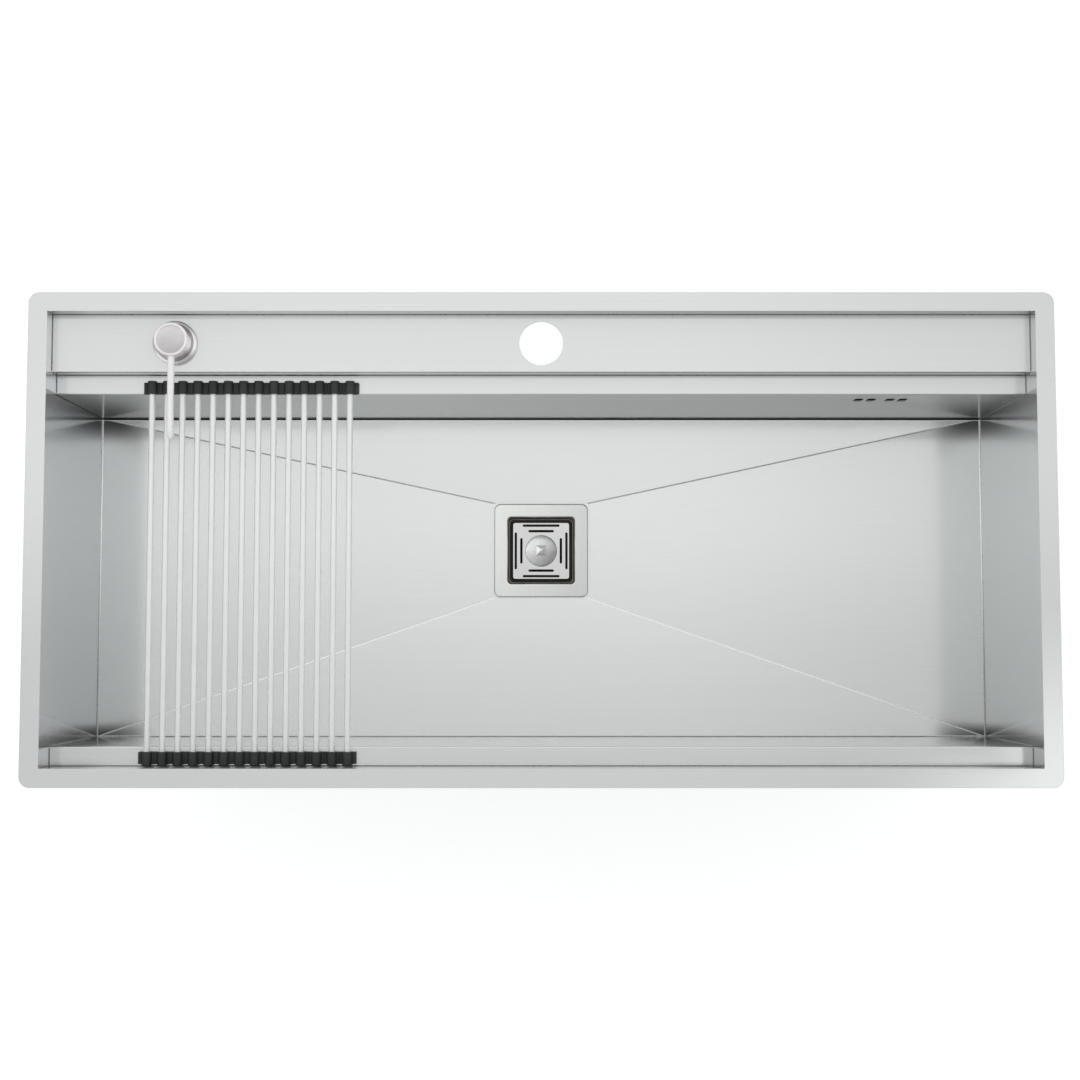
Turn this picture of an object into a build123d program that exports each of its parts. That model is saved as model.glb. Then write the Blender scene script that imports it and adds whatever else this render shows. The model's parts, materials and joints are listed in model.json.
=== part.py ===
from build123d import *
import math
import os

# Wide single-bowl sink of folded and welded sheet steel, with its drain, overflow, soap dispenser and rack.
# Millimetres. The origin is on the worktop at the centre of the rim: +X right, +Y back to the tap, +Z up.

# Sheet steel
sheet = 1.2
bend_inside_radius = 0.4

# Rim
rim_length = 1000.0
rim_depth = 480.0
rim_width = 18.5
rim_corner_radius = 10.5
rim_edge_round = 0.4
seal_width = 8.0
seal_thickness = 1.0
seal_inset = 1.0

# Levels below the top of the rim, and the floor's fall from the walls to the drain
tap_ledge_drop = 18.0
accessory_ledge_drop = 35.0
bowl_depth = 205.0
floor_fall = 4.0

# Ledges and tap hole
tap_ledge_width = 57.5
accessory_ledge_width = 19.3
tap_hole_diameter = 43.0

# Damping pads
pad_thickness = 3.0
floor_pad_length = 240.0
floor_pad_width = 120.0
wall_pad_height = 90.0
wall_pad_margin = 110.0

# Spring clips on the outside of the walls
clip_sheet = 1.0
clip_width = 18.0
clip_height = 12.0
clip_reach = 6.0
clip_rise = 8.0
clip_drop = 2.5
clips_per_side = 3
clips_per_end = 2

# Square drain
flange_side = 102.0
flange_corner_radius = 6.6
flange_thickness = 2.0
flange_bevel = 1.0
flange_pad_margin = 1.0
dish_side = 73.0
dish_corner_radius = 5.0
dish_depth = 14.0
dish_wall = 1.2
floor_hole_gap = 1.0
drain_gasket_thickness = 1.0
gasket_margin = 3.0
neck_bore = 52.0
neck_wall = 2.0
neck_length = 40.0
thread_fit = 0.1

# Clamp under the drain
backing_gasket_thickness = 2.0
backing_flange_thickness = 3.0
backing_wall = 3.5
backing_floor = 4.0
backing_gap = 1.0
lock_nut_height = 12.0
lock_nut_wall = 9.0
lock_nut_sides = 8

# Waste pipe under the drain
waste_washer_thickness = 2.0
waste_bore = 42.0
waste_wall = 1.5
waste_flange_thickness = 3.0
waste_flange_lip = 2.0
waste_length = 80.0
outlet_thread_diameter = 47.8
outlet_thread_length = 20.0
coupling_wall = 5.0
coupling_grip = 14.0
coupling_floor = 4.0
coupling_gap = 0.5
branch_depth = 34.0
branch_reach = 50.0

# Lift-out strainer
strainer_side = 61.4
strainer_corner_radius = 2.5
strainer_sheet = 1.2
strainer_depth = 8.0
strainer_seat_gap = 0.2
slot_width = 2.6
outer_slot_length = 40.5
outer_slot_offset = 27.8
inner_slot_length = 28.0
inner_slot_offset = 21.7
dome_diameter = 35.0
dome_height = 4.0
knob_side = 11.0
knob_top_side = 3.0
knob_height = 7.0
stem_diameter = 5.0
stem_fit = 0.1
spacer_wall = 1.5
basket_sheet = 0.8
basket_gap = 1.0
basket_lip = 3.0
basket_hole_diameter = 4.0
basket_holes_round = 12
basket_hole_rows = 2
stopper_diameter = 30.0
stopper_thickness = 4.0
strainer_nut_height = 4.0
strainer_nut_across = 8.0
hexagon_sides = 6
strainer_end_gap = 6.0

# Overflow slots in two pairs, and the box behind them
overflow_from_end = 137.5
overflow_slot_width = 9.0
overflow_slot_height = 20.0
overflow_slot_drop = 60.0
overflow_pair_pitch = 12.8
overflow_pair_spacing = 32.0
overflow_wall = 2.0
overflow_border = 6.0
overflow_gasket_thickness = 2.0
overflow_ear_thickness = 4.0
overflow_ear_length = 16.0
overflow_stud_diameter = 5.0
overflow_stud_hole_gap = 0.25
overflow_nut_across = 8.0
overflow_nut_height = 4.0
pipe_bore = 18.0
pipe_wall = 2.0
pipe_bend_radius = 60.0
pipe_seal_thickness = 2.0
pipe_nut_length = 22.0
pipe_nut_wall = 3.5
pipe_nut_gap = 1.0
spigot_length = 16.0

# Soap dispenser
soap_from_end = 121.5
soap_flange_diameter = 43.5
soap_flange_height = 5.0
soap_flange_round = 2.2
soap_collar_diameter = 28.0
soap_collar_height = 1.0
soap_shank_diameter = 25.0
soap_shank_length = 38.0
soap_hole_gap = 0.5
soap_gasket_thickness = 1.0
soap_gasket_margin = 1.75
soap_nut_height = 9.0
soap_nut_wall = 8.0
soap_stroke = 6.0
soap_head_gap = 0.8
soap_head_diameter = 33.0
soap_head_height = 9.5
soap_head_round = 1.2
soap_spout_level = 4.75
soap_spout_diameter = 6.7
soap_spout_wall = 0.8
soap_spout_reach = 94.0
soap_spout_bend_radius = 8.0
soap_spout_bend_angle = 50.0
soap_spout_insertion = 8.0
soap_spout_fit = 0.05
soap_stem_diameter = 8.0
soap_stem_bore = 3.0
soap_stem_insertion = 6.0
soap_stem_fit = 0.1
soap_pump_bore = 14.0
soap_pump_wall = 1.7
soap_pump_fit = 0.15
soap_pump_length = 62.0
soap_pump_lip_width = 2.0
soap_pump_lip = 2.5
soap_pump_floor = 2.0
soap_piston_height = 8.0
soap_piston_drop = 4.0
soap_piston_seal_height = 3.0
soap_piston_seal_depth = 1.5
soap_spring_wire = 1.0
soap_spring_diameter = 10.0
soap_nipple_length = 8.0
soap_nipple_bore = 2.0
soap_dip_bore = 4.2
soap_dip_wall = 0.9
soap_dip_fit = 0.1
soap_dip_floor_gap = 5.0
soap_bottle_diameter = 54.0
soap_bottle_wall = 1.6
soap_bottle_neck_wall = 2.4
soap_bottle_neck_length = 16.0
soap_bottle_shoulder = 14.0
soap_bottle_length = 150.0

# Roll-up rack
rod_diameter = 6.0
rod_pitch = 15.05
rod_count = 14
rolling_rods = 3
rack_from_end = 96.5
rod_fit = 0.05
rod_insertion = 11.0
strip_width = 13.0
strip_end_tab = 8.5
knuckle_wall = 1.6
web_thickness = 3.0
web_inset = 0.7
rack_seat_gap = 0.3
rack_front_gap = 1.0
rack_back_gap = 6.8
rack_hinge_gap = 0.3

# Places worked out from the sizes above
half_length = rim_length / 2 - rim_width
back_y = rim_depth / 2 - rim_width
front_y = -back_y
tap_front_y = back_y - tap_ledge_width
back_wall_y = tap_front_y - accessory_ledge_width
front_wall_y = front_y + accessory_ledge_width
bowl_width = back_wall_y - front_wall_y
bowl_middle_y = (back_wall_y + front_wall_y) / 2
ledge_middle_y = (back_y + tap_front_y) / 2
overflow_x = half_length - overflow_from_end
soap_x = soap_from_end - half_length
first_rod_x = rack_from_end - half_length

rim_under = seal_thickness
rim_top = rim_under + sheet
tap_ledge_z = rim_top - tap_ledge_drop
accessory_z = rim_top - accessory_ledge_drop
floor_z = rim_top - bowl_depth
wall_bottom_z = floor_z - sheet
drain_z = floor_z - floor_fall
drain_under_z = drain_z - sheet
bend_outside_radius = bend_inside_radius + sheet

os.makedirs("parts", exist_ok=True)


def upright(x, y):
    """Vertical plane through (x, y), with its own x along +X and its own y along +Z."""
    return Plane(origin=(x, y, 0), x_dir=(1, 0, 0), z_dir=(0, -1, 0))


def turn(x, y, outline):
    """Solid turned about the vertical line through (x, y), from points of (radius, height)."""
    with BuildSketch(upright(x, y)) as half_section:
        with BuildLine():
            Polyline(*outline, close=True)
        make_face()
    revolve(half_section.sketch, axis=Axis((x, y, 0), (0, 0, 1)))


def tube(x, y, bottom, top, outer_diameter, bore=0.0):
    """Upright tube, or a rod where there is no bore."""
    with BuildSketch(Plane.XY.offset(bottom)) as section:
        with Locations((x, y)):
            Circle(outer_diameter / 2)
            if bore:
                Circle(bore / 2, mode=Mode.SUBTRACT)
    extrude(section.sketch, amount=top - bottom)


def square(side, corner_radius, bottom, top, mode=Mode.ADD):
    """Upright block with rounded corners, centred on the drain."""
    with BuildSketch(Plane.XY.offset(bottom)) as section:
        RectangleRounded(side, side, corner_radius)
    extrude(section.sketch, amount=top - bottom, mode=mode)


def folded(points, radii, side, half_width):
    """Sheet folded along a visible line of (y, z) points, with its thickness on the hidden side."""
    with BuildSketch(Plane.YZ) as section:
        with BuildLine():
            FilletPolyline(*points, radius=radii)
            offset(amount=sheet, side=side)
        make_face()
    extrude(section.sketch, amount=half_width, both=True)


# Rim: a flat frame whose top edge is lightly rounded
with BuildPart() as rim_frame:
    with BuildSketch(Plane.XY.offset(rim_under)):
        RectangleRounded(rim_length, rim_depth, rim_corner_radius)
        Rectangle(2 * half_length, back_y - front_y, mode=Mode.SUBTRACT)
    extrude(amount=sheet)
    rim_outer_edges = rim_frame.faces().sort_by(Axis.Z)[-1].outer_wire().edges()
    fillet(rim_outer_edges, radius=rim_edge_round)
rim_frame.part.label = "rim_frame"
export_step(rim_frame.part, "parts/rim_frame.step")

# Seal between the rim and the worktop
with BuildPart() as rim_seal:
    seal_length = rim_length - 2 * seal_inset
    seal_depth = rim_depth - 2 * seal_inset
    with BuildSketch():
        RectangleRounded(seal_length, seal_depth, rim_corner_radius - seal_inset)
        Rectangle(seal_length - 2 * seal_width, seal_depth - 2 * seal_width, mode=Mode.SUBTRACT)
    extrude(amount=seal_thickness)
rim_seal.part.label = "rim_seal"
export_step(rim_seal.part, "parts/rim_seal.step")

# Drops from the rim to the tap ledge at the back and to the accessory ledge at the front
with BuildPart() as back_drop:
    with BuildSketch(Plane.XY.offset(tap_ledge_z)):
        with Locations((0, back_y + sheet / 2)):
            Rectangle(2 * half_length, sheet)
    extrude(amount=rim_under - tap_ledge_z)
back_drop.part.label = "back_drop"
export_step(back_drop.part, "parts/back_drop.step")

with BuildPart() as front_drop:
    with BuildSketch(Plane.XY.offset(accessory_z)):
        with Locations((0, front_y - sheet / 2)):
            Rectangle(2 * half_length, sheet)
    extrude(amount=rim_under - accessory_z)
front_drop.part.label = "front_drop"
export_step(front_drop.part, "parts/front_drop.step")

# Tap ledge: sunk ledge with its two holes, and the riser in front
soap_hole_diameter = soap_shank_diameter + 2 * soap_hole_gap
with BuildPart() as tap_ledge:
    folded(
        [(back_y + sheet, tap_ledge_z), (tap_front_y, tap_ledge_z), (tap_front_y, accessory_z)],
        [bend_outside_radius],
        Side.LEFT,
        half_length,
    )
    with BuildSketch(Plane.XY.offset(tap_ledge_z)):
        with Locations((0, ledge_middle_y)):
            Circle(tap_hole_diameter / 2)
        with Locations((soap_x, ledge_middle_y)):
            Circle(soap_hole_diameter / 2)
    extrude(amount=-sheet, mode=Mode.SUBTRACT)
tap_ledge.part.label = "tap_ledge"
export_step(tap_ledge.part, "parts/tap_ledge.step")

# Back wall of the bowl with the back accessory ledge and the overflow slots
overflow_slot_z = rim_top - overflow_slot_drop - overflow_slot_height / 2
overflow_slot_xs = [
    overflow_x + pair * overflow_pair_spacing / 2 + slot * overflow_pair_pitch / 2
    for pair in (-1, 1)
    for slot in (-1, 1)
]
with BuildPart() as back_wall:
    folded(
        [(tap_front_y + sheet, accessory_z), (back_wall_y, accessory_z), (back_wall_y, wall_bottom_z)],
        [bend_outside_radius],
        Side.LEFT,
        half_length,
    )
    with BuildSketch(Plane.XZ.offset(-back_wall_y)):
        with Locations(*[(x, overflow_slot_z) for x in overflow_slot_xs]):
            SlotOverall(overflow_slot_height, overflow_slot_width, rotation=90)
    extrude(amount=-sheet, mode=Mode.SUBTRACT)
back_wall.part.label = "back_wall"
export_step(back_wall.part, "parts/back_wall.step")

# Front accessory ledge and front wall of the bowl
with BuildPart() as front_wall:
    folded(
        [(front_y - sheet, accessory_z), (front_wall_y, accessory_z), (front_wall_y, wall_bottom_z)],
        [bend_outside_radius],
        Side.RIGHT,
        half_length,
    )
front_wall.part.label = "front_wall"
export_step(front_wall.part, "parts/front_wall.step")

# Stepped end panels, which close the folded sheets
end_outline = [
    (back_y + sheet, rim_under),
    (back_y + sheet, tap_ledge_z - sheet),
    (tap_front_y + sheet, tap_ledge_z - sheet),
    (tap_front_y + sheet, accessory_z - sheet),
    (back_wall_y + sheet, accessory_z - sheet),
    (back_wall_y + sheet, wall_bottom_z),
    (front_wall_y - sheet, wall_bottom_z),
    (front_wall_y - sheet, accessory_z - sheet),
    (front_y - sheet, accessory_z - sheet),
    (front_y - sheet, rim_under),
]


def end_panel(inner_x, outward):
    """Flat panel with the outline of the folded sheets, from inner_x outwards."""
    with BuildSketch(Plane.YZ.offset(inner_x)) as outline:
        with BuildLine():
            Polyline(*end_outline, close=True)
        make_face()
    extrude(outline.sketch, amount=outward * sheet)


with BuildPart() as left_end:
    end_panel(-half_length, -1)
left_end.part.label = "left_end"
export_step(left_end.part, "parts/left_end.step")

with BuildPart() as right_end:
    end_panel(half_length, 1)
right_end.part.label = "right_end"
export_step(right_end.part, "parts/right_end.step")

# Floor of four facets, creased from its corners to the flat pad round the drain
flange_pad_side = flange_side + 2 * flange_pad_margin
floor_hole_side = dish_side + 2 * dish_wall + 2 * floor_hole_gap
floor_hole_radius = dish_corner_radius + dish_wall + floor_hole_gap


def floor_fall_between(edge_z, pad_z, mode):
    """Tapered block from the floor's edge down to the pad round the drain."""
    with BuildSketch(Plane.XY.offset(edge_z)) as floor_edge:
        with Locations((0, bowl_middle_y)):
            Rectangle(2 * half_length, bowl_width)
    with BuildSketch(Plane.XY.offset(pad_z)) as drain_pad:
        Rectangle(flange_pad_side, flange_pad_side)
    loft([floor_edge.sketch, drain_pad.sketch], ruled=True, mode=mode)


with BuildPart() as floor_pan:
    with BuildSketch(Plane.XY.offset(floor_z)):
        with Locations((0, bowl_middle_y)):
            Rectangle(2 * half_length, bowl_width)
    extrude(amount=-sheet)
    floor_fall_between(floor_z - sheet, drain_under_z, Mode.ADD)
    floor_fall_between(floor_z, drain_z, Mode.SUBTRACT)
    square(floor_hole_side, floor_hole_radius, drain_under_z, drain_z, Mode.SUBTRACT)
floor_pan.part.label = "floor_pan"
export_step(floor_pan.part, "parts/floor_pan.step")

# Damping pads under the two long floor facets and on the outside of the walls
facet_run = half_length - flange_pad_side / 2
facet_angle = math.atan2(floor_fall, facet_run)
facet_middle_x = (half_length + flange_pad_side / 2) / 2
facet_middle_z = (floor_z + drain_z) / 2 - sheet
wall_pad_z = (accessory_z + floor_z) / 2
with BuildPart() as sound_pads:
    for way in (-1, 1):
        facet_plane = Plane(
            origin=(way * facet_middle_x, 0, facet_middle_z),
            x_dir=(math.cos(facet_angle), 0, way * math.sin(facet_angle)),
            z_dir=(-way * math.sin(facet_angle), 0, math.cos(facet_angle)),
        )
        with BuildSketch(facet_plane):
            Rectangle(floor_pad_length, floor_pad_width)
        extrude(amount=-pad_thickness)
        with BuildSketch(Plane.YZ.offset(way * (half_length + sheet))):
            with Locations((bowl_middle_y, wall_pad_z)):
                Rectangle(bowl_width - wall_pad_margin, wall_pad_height)
        extrude(amount=way * pad_thickness)
    with BuildSketch(Plane.XZ.offset(-(front_wall_y - sheet))):
        with Locations((0, wall_pad_z)):
            Rectangle(half_length, wall_pad_height)
    extrude(amount=pad_thickness)
sound_pads.part.label = "sound_pads"
export_step(sound_pads.part, "parts/sound_pads.step")

# Spring clips: a foot on the wall and a leaf that springs out against the edge of the cut-out
clip_feet = []
for way in (-1, 1):
    for number in range(clips_per_side):
        clip_x = (number + 0.5 - clips_per_side / 2) * 2 * half_length / clips_per_side
        clip_feet.append(((clip_x, way * (back_y + sheet), rim_under), (0, way, 0)))
    for number in range(clips_per_end):
        clip_y = (number + 0.5 - clips_per_end / 2) * 2 * back_y / clips_per_end
        clip_feet.append(((way * (half_length + sheet), clip_y, rim_under), (way, 0, 0)))

with BuildPart() as mounting_clips:
    for foot, outward in clip_feet:
        clip_plane = Plane(origin=foot, x_dir=outward, z_dir=(outward[1], -outward[0], 0))
        with BuildSketch(clip_plane):
            with BuildLine():
                FilletPolyline(
                    (0, -clip_drop),
                    (0, -clip_drop - clip_height),
                    (clip_reach, clip_rise - clip_drop - clip_height),
                    radius=bend_inside_radius + clip_sheet,
                )
                offset(amount=clip_sheet, side=Side.LEFT)
            make_face()
        extrude(amount=clip_width / 2, both=True)
mounting_clips.part.label = "mounting_clips"
export_step(mounting_clips.part, "parts/mounting_clips.step")

# Drain flange: bevelled square flange, square dish and threaded neck in one piece
gasket_side = flange_side - 2 * gasket_margin
gasket_radius = flange_corner_radius
flange_under_z = drain_z + drain_gasket_thickness
flange_top_z = flange_under_z + flange_thickness
dish_bottom_z = flange_top_z - dish_depth
dish_under_z = dish_bottom_z - dish_wall
dish_outer_side = dish_side + 2 * dish_wall
dish_outer_radius = dish_corner_radius + dish_wall
neck_diameter = neck_bore + 2 * neck_wall
neck_bottom_z = dish_under_z - neck_length

with BuildPart() as drain_gasket:
    square(gasket_side, gasket_radius, drain_z, flange_under_z)
    square(floor_hole_side, floor_hole_radius, drain_z, flange_under_z, Mode.SUBTRACT)
drain_gasket.part.label = "drain_gasket"
export_step(drain_gasket.part, "parts/drain_gasket.step")

with BuildPart() as drain_flange:
    square(flange_side, flange_corner_radius, flange_under_z, flange_top_z)
    chamfer(drain_flange.faces().sort_by(Axis.Z)[-1].edges(), length=flange_bevel)
    square(dish_outer_side, dish_outer_radius, dish_under_z, flange_under_z)
    tube(0, 0, neck_bottom_z, dish_under_z, neck_diameter)
    square(dish_side, dish_corner_radius, dish_bottom_z, flange_top_z, Mode.SUBTRACT)
    with BuildSketch(Plane.XY.offset(neck_bottom_z)):
        Circle(neck_bore / 2)
    extrude(amount=dish_bottom_z - neck_bottom_z, mode=Mode.SUBTRACT)
drain_flange.part.label = "drain_flange"
export_step(drain_flange.part, "parts/drain_flange.step")

# Backing cup, its gasket and the lock nut that clamps the drain from below
backing_top_z = drain_under_z - backing_gasket_thickness
backing_inner_z = dish_under_z - backing_gap
backing_bottom_z = backing_inner_z - backing_floor
backing_outer_side = floor_hole_side + 2 * backing_wall
lock_nut_bottom_z = backing_bottom_z - lock_nut_height
thread_bore = neck_diameter + 2 * thread_fit

with BuildPart() as backing_gasket:
    square(gasket_side, gasket_radius, backing_top_z, drain_under_z)
    square(floor_hole_side, floor_hole_radius, backing_top_z, drain_under_z, Mode.SUBTRACT)
backing_gasket.part.label = "backing_gasket"
export_step(backing_gasket.part, "parts/backing_gasket.step")

with BuildPart() as backing_cup:
    square(gasket_side, gasket_radius, backing_top_z - backing_flange_thickness, backing_top_z)
    square(backing_outer_side, floor_hole_radius + backing_wall, backing_bottom_z, backing_top_z)
    square(floor_hole_side, floor_hole_radius, backing_inner_z, backing_top_z, Mode.SUBTRACT)
    with BuildSketch(Plane.XY.offset(backing_bottom_z)):
        Circle(thread_bore / 2)
    extrude(amount=backing_floor, mode=Mode.SUBTRACT)
backing_cup.part.label = "backing_cup"
export_step(backing_cup.part, "parts/backing_cup.step")

with BuildPart() as drain_lock_nut:
    with BuildSketch(Plane.XY.offset(lock_nut_bottom_z)):
        RegularPolygon(neck_diameter / 2 + lock_nut_wall, lock_nut_sides)
        Circle(thread_bore / 2, mode=Mode.SUBTRACT)
    extrude(amount=lock_nut_height)
drain_lock_nut.part.label = "drain_lock_nut"
export_step(drain_lock_nut.part, "parts/drain_lock_nut.step")

# Waste pipe: washer, flanged pipe with an inlet from the overflow, and the coupling nut
waste_top_z = neck_bottom_z - waste_washer_thickness
waste_flange_z = waste_top_z - waste_flange_thickness
waste_bottom_z = waste_top_z - waste_length
waste_diameter = waste_bore + 2 * waste_wall
waste_flange_diameter = neck_diameter + 2 * waste_flange_lip
branch_z = waste_top_z - branch_depth
pipe_diameter = pipe_bore + 2 * pipe_wall
pipe_nut_diameter = pipe_diameter + 2 * pipe_nut_wall

overflow_box_y = back_wall_y + sheet + overflow_gasket_thickness
overflow_pipe_y = back_wall_y + sheet + pipe_nut_diameter / 2 + pipe_nut_gap
overflow_box_depth = overflow_pipe_y + pipe_diameter / 2 + overflow_wall - overflow_box_y
pipe_run = math.hypot(overflow_x, overflow_pipe_y)
pipe_way = (overflow_x / pipe_run, overflow_pipe_y / pipe_run, 0)
pipe_plane = Plane(origin=(0, 0, 0), x_dir=pipe_way, z_dir=(pipe_way[1], -pipe_way[0], 0))
branch_plane = Plane(origin=(0, 0, branch_z), x_dir=(0, 0, 1), z_dir=pipe_way)

with BuildPart() as waste_washer:
    tube(0, 0, waste_top_z, neck_bottom_z, neck_diameter, waste_bore)
waste_washer.part.label = "waste_washer"
export_step(waste_washer.part, "parts/waste_washer.step")

with BuildPart() as waste_tee:
    tube(0, 0, waste_flange_z, waste_top_z, waste_flange_diameter)
    tube(0, 0, waste_bottom_z, waste_flange_z, waste_diameter)
    tube(0, 0, waste_bottom_z, waste_bottom_z + outlet_thread_length, outlet_thread_diameter)
    with BuildSketch(branch_plane):
        Circle(pipe_diameter / 2)
    extrude(amount=branch_reach)
    with BuildSketch(Plane.XY.offset(waste_bottom_z)):
        Circle(waste_bore / 2)
    extrude(amount=waste_length, mode=Mode.SUBTRACT)
    with BuildSketch(branch_plane):
        Circle(pipe_bore / 2)
    extrude(amount=branch_reach, mode=Mode.SUBTRACT)
waste_tee.part.label = "waste_tee"
export_step(waste_tee.part, "parts/waste_tee.step")

coupling_bore = waste_flange_diameter / 2 + coupling_gap
coupling_radius = coupling_bore + coupling_wall
coupling_top_z = neck_bottom_z + coupling_grip
with BuildPart() as waste_coupling_nut:
    turn(
        0,
        0,
        [
            (thread_bore / 2, coupling_top_z),
            (coupling_radius, coupling_top_z),
            (coupling_radius, waste_flange_z - coupling_floor),
            (waste_diameter / 2 + coupling_gap, waste_flange_z - coupling_floor),
            (waste_diameter / 2 + coupling_gap, waste_flange_z),
            (coupling_bore, waste_flange_z),
            (coupling_bore, neck_bottom_z),
            (thread_bore / 2, neck_bottom_z),
        ],
    )
waste_coupling_nut.part.label = "waste_coupling_nut"
export_step(waste_coupling_nut.part, "parts/waste_coupling_nut.step")

# Strainer: slotted plate with a dome, a knob on a stem, and a basket that hangs in the neck
plate_top_z = flange_top_z - strainer_depth
plate_under_z = plate_top_z - strainer_sheet
basket_lip_z = dish_bottom_z + strainer_seat_gap
basket_top_z = basket_lip_z + basket_sheet
basket_diameter = neck_bore - 2 * basket_gap
nut_stack = stopper_thickness + strainer_nut_height + strainer_end_gap
basket_bottom_z = neck_bottom_z + nut_stack
basket_inner_z = basket_bottom_z + basket_sheet
dome_radius = (dome_diameter**2 / 4 + dome_height**2) / (2 * dome_height)
dome_top_z = plate_top_z + dome_height
stem_bore = stem_diameter + 2 * stem_fit

with BuildPart() as strainer_plate:
    with Locations((0, 0, dome_top_z - dome_radius)):
        Sphere(dome_radius)
        Sphere(dome_radius - strainer_sheet, mode=Mode.SUBTRACT)
    split(bisect_by=Plane.XY.offset(plate_top_z), keep=Keep.TOP)
    with BuildSketch(Plane.XY.offset(plate_under_z)):
        RectangleRounded(strainer_side, strainer_side, strainer_corner_radius)
        Circle(dome_diameter / 2 - strainer_sheet, mode=Mode.SUBTRACT)
        for turned in (0, 90, 180, 270):
            with PolarLocations(outer_slot_offset, 1, start_angle=turned):
                SlotOverall(outer_slot_length, slot_width, rotation=90, mode=Mode.SUBTRACT)
            with PolarLocations(inner_slot_offset, 1, start_angle=turned):
                SlotOverall(inner_slot_length, slot_width, rotation=90, mode=Mode.SUBTRACT)
    extrude(amount=strainer_sheet)
    with BuildSketch(Plane.XY.offset(plate_under_z)):
        Circle(stem_bore / 2)
    extrude(amount=dome_top_z - plate_under_z, mode=Mode.SUBTRACT)
strainer_plate.part.label = "strainer_plate"
export_step(strainer_plate.part, "parts/strainer_plate.step")

stem_bottom_z = basket_bottom_z - stopper_thickness - strainer_nut_height
with BuildPart() as strainer_knob:
    with BuildSketch(Plane.XY.offset(dome_top_z)):
        Rectangle(knob_side, knob_side)
    with BuildSketch(Plane.XY.offset(dome_top_z + knob_height)):
        Rectangle(knob_top_side, knob_top_side)
    loft(ruled=True)
    tube(0, 0, stem_bottom_z, dome_top_z, stem_diameter)
strainer_knob.part.label = "strainer_knob"
export_step(strainer_knob.part, "parts/strainer_knob.step")

with BuildPart() as strainer_spacer:
    dome_inside_z = dome_top_z - strainer_sheet
    spacer_diameter = stem_bore + 2 * spacer_wall
    dome_inside_radius = dome_radius - strainer_sheet
    spacer_drop = dome_inside_radius - math.sqrt(dome_inside_radius**2 - spacer_diameter**2 / 4)
    tube(0, 0, basket_inner_z, dome_inside_z - spacer_drop, spacer_diameter, stem_bore)
strainer_spacer.part.label = "strainer_spacer"
export_step(strainer_spacer.part, "parts/strainer_spacer.step")

with BuildPart() as strainer_basket:
    basket_radius = basket_diameter / 2
    turn(
        0,
        0,
        [
            (stem_bore / 2, basket_bottom_z),
            (basket_radius, basket_bottom_z),
            (basket_radius, basket_lip_z),
            (neck_bore / 2 + basket_lip, basket_lip_z),
            (neck_bore / 2 + basket_lip, basket_top_z),
            (basket_radius - basket_sheet, basket_top_z),
            (basket_radius - basket_sheet, basket_inner_z),
            (stem_bore / 2, basket_inner_z),
        ],
    )
    hole_row_pitch = (basket_lip_z - basket_bottom_z) / (basket_hole_rows + 1)
    hole_cut = 2 * (basket_sheet + basket_gap)
    for row in range(basket_hole_rows):
        with Locations((0, 0, basket_bottom_z + (row + 1) * hole_row_pitch)):
            with PolarLocations(basket_radius, basket_holes_round):
                Cylinder(basket_hole_diameter / 2, hole_cut, rotation=(0, 90, 0), mode=Mode.SUBTRACT)
strainer_basket.part.label = "strainer_basket"
export_step(strainer_basket.part, "parts/strainer_basket.step")

with BuildPart() as strainer_stopper:
    tube(0, 0, basket_bottom_z - stopper_thickness, basket_bottom_z, stopper_diameter, stem_bore)
strainer_stopper.part.label = "strainer_stopper"
export_step(strainer_stopper.part, "parts/strainer_stopper.step")

with BuildPart() as strainer_nut:
    with BuildSketch(Plane.XY.offset(stem_bottom_z)):
        RegularPolygon(strainer_nut_across / 2, hexagon_sides, major_radius=False)
        Circle(stem_bore / 2, mode=Mode.SUBTRACT)
    extrude(amount=strainer_nut_height)
strainer_nut.part.label = "strainer_nut"
export_step(strainer_nut.part, "parts/strainer_nut.step")

# Overflow: gasket, box with two ears, studs welded to the back wall and their nuts
slots_span = overflow_pair_spacing + overflow_pair_pitch + overflow_slot_width
window_width = slots_span + 2 * overflow_wall
window_height = overflow_slot_height + 2 * overflow_wall
overflow_face_width = window_width + 2 * overflow_border
overflow_face_height = window_height + 2 * overflow_border
overflow_bottom_z = overflow_slot_z - overflow_face_height / 2
spigot_bottom_z = overflow_bottom_z - spigot_length
ear_x = overflow_face_width / 2 + overflow_ear_length / 2
stud_hole = overflow_stud_diameter + 2 * overflow_stud_hole_gap
stud_end_y = overflow_box_y + overflow_ear_thickness + overflow_nut_height + overflow_stud_diameter / 2
stud_places = [(overflow_x - ear_x, overflow_slot_z), (overflow_x + ear_x, overflow_slot_z)]
gasket_plane = Plane.XZ.offset(-(back_wall_y + sheet))
box_plane = Plane.XZ.offset(-overflow_box_y)

with BuildPart() as overflow_gasket:
    with BuildSketch(gasket_plane):
        with Locations((overflow_x, overflow_slot_z)):
            Rectangle(overflow_face_width, overflow_face_height)
            Rectangle(window_width, window_height, mode=Mode.SUBTRACT)
    extrude(amount=-overflow_gasket_thickness)
overflow_gasket.part.label = "overflow_gasket"
export_step(overflow_gasket.part, "parts/overflow_gasket.step")

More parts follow.
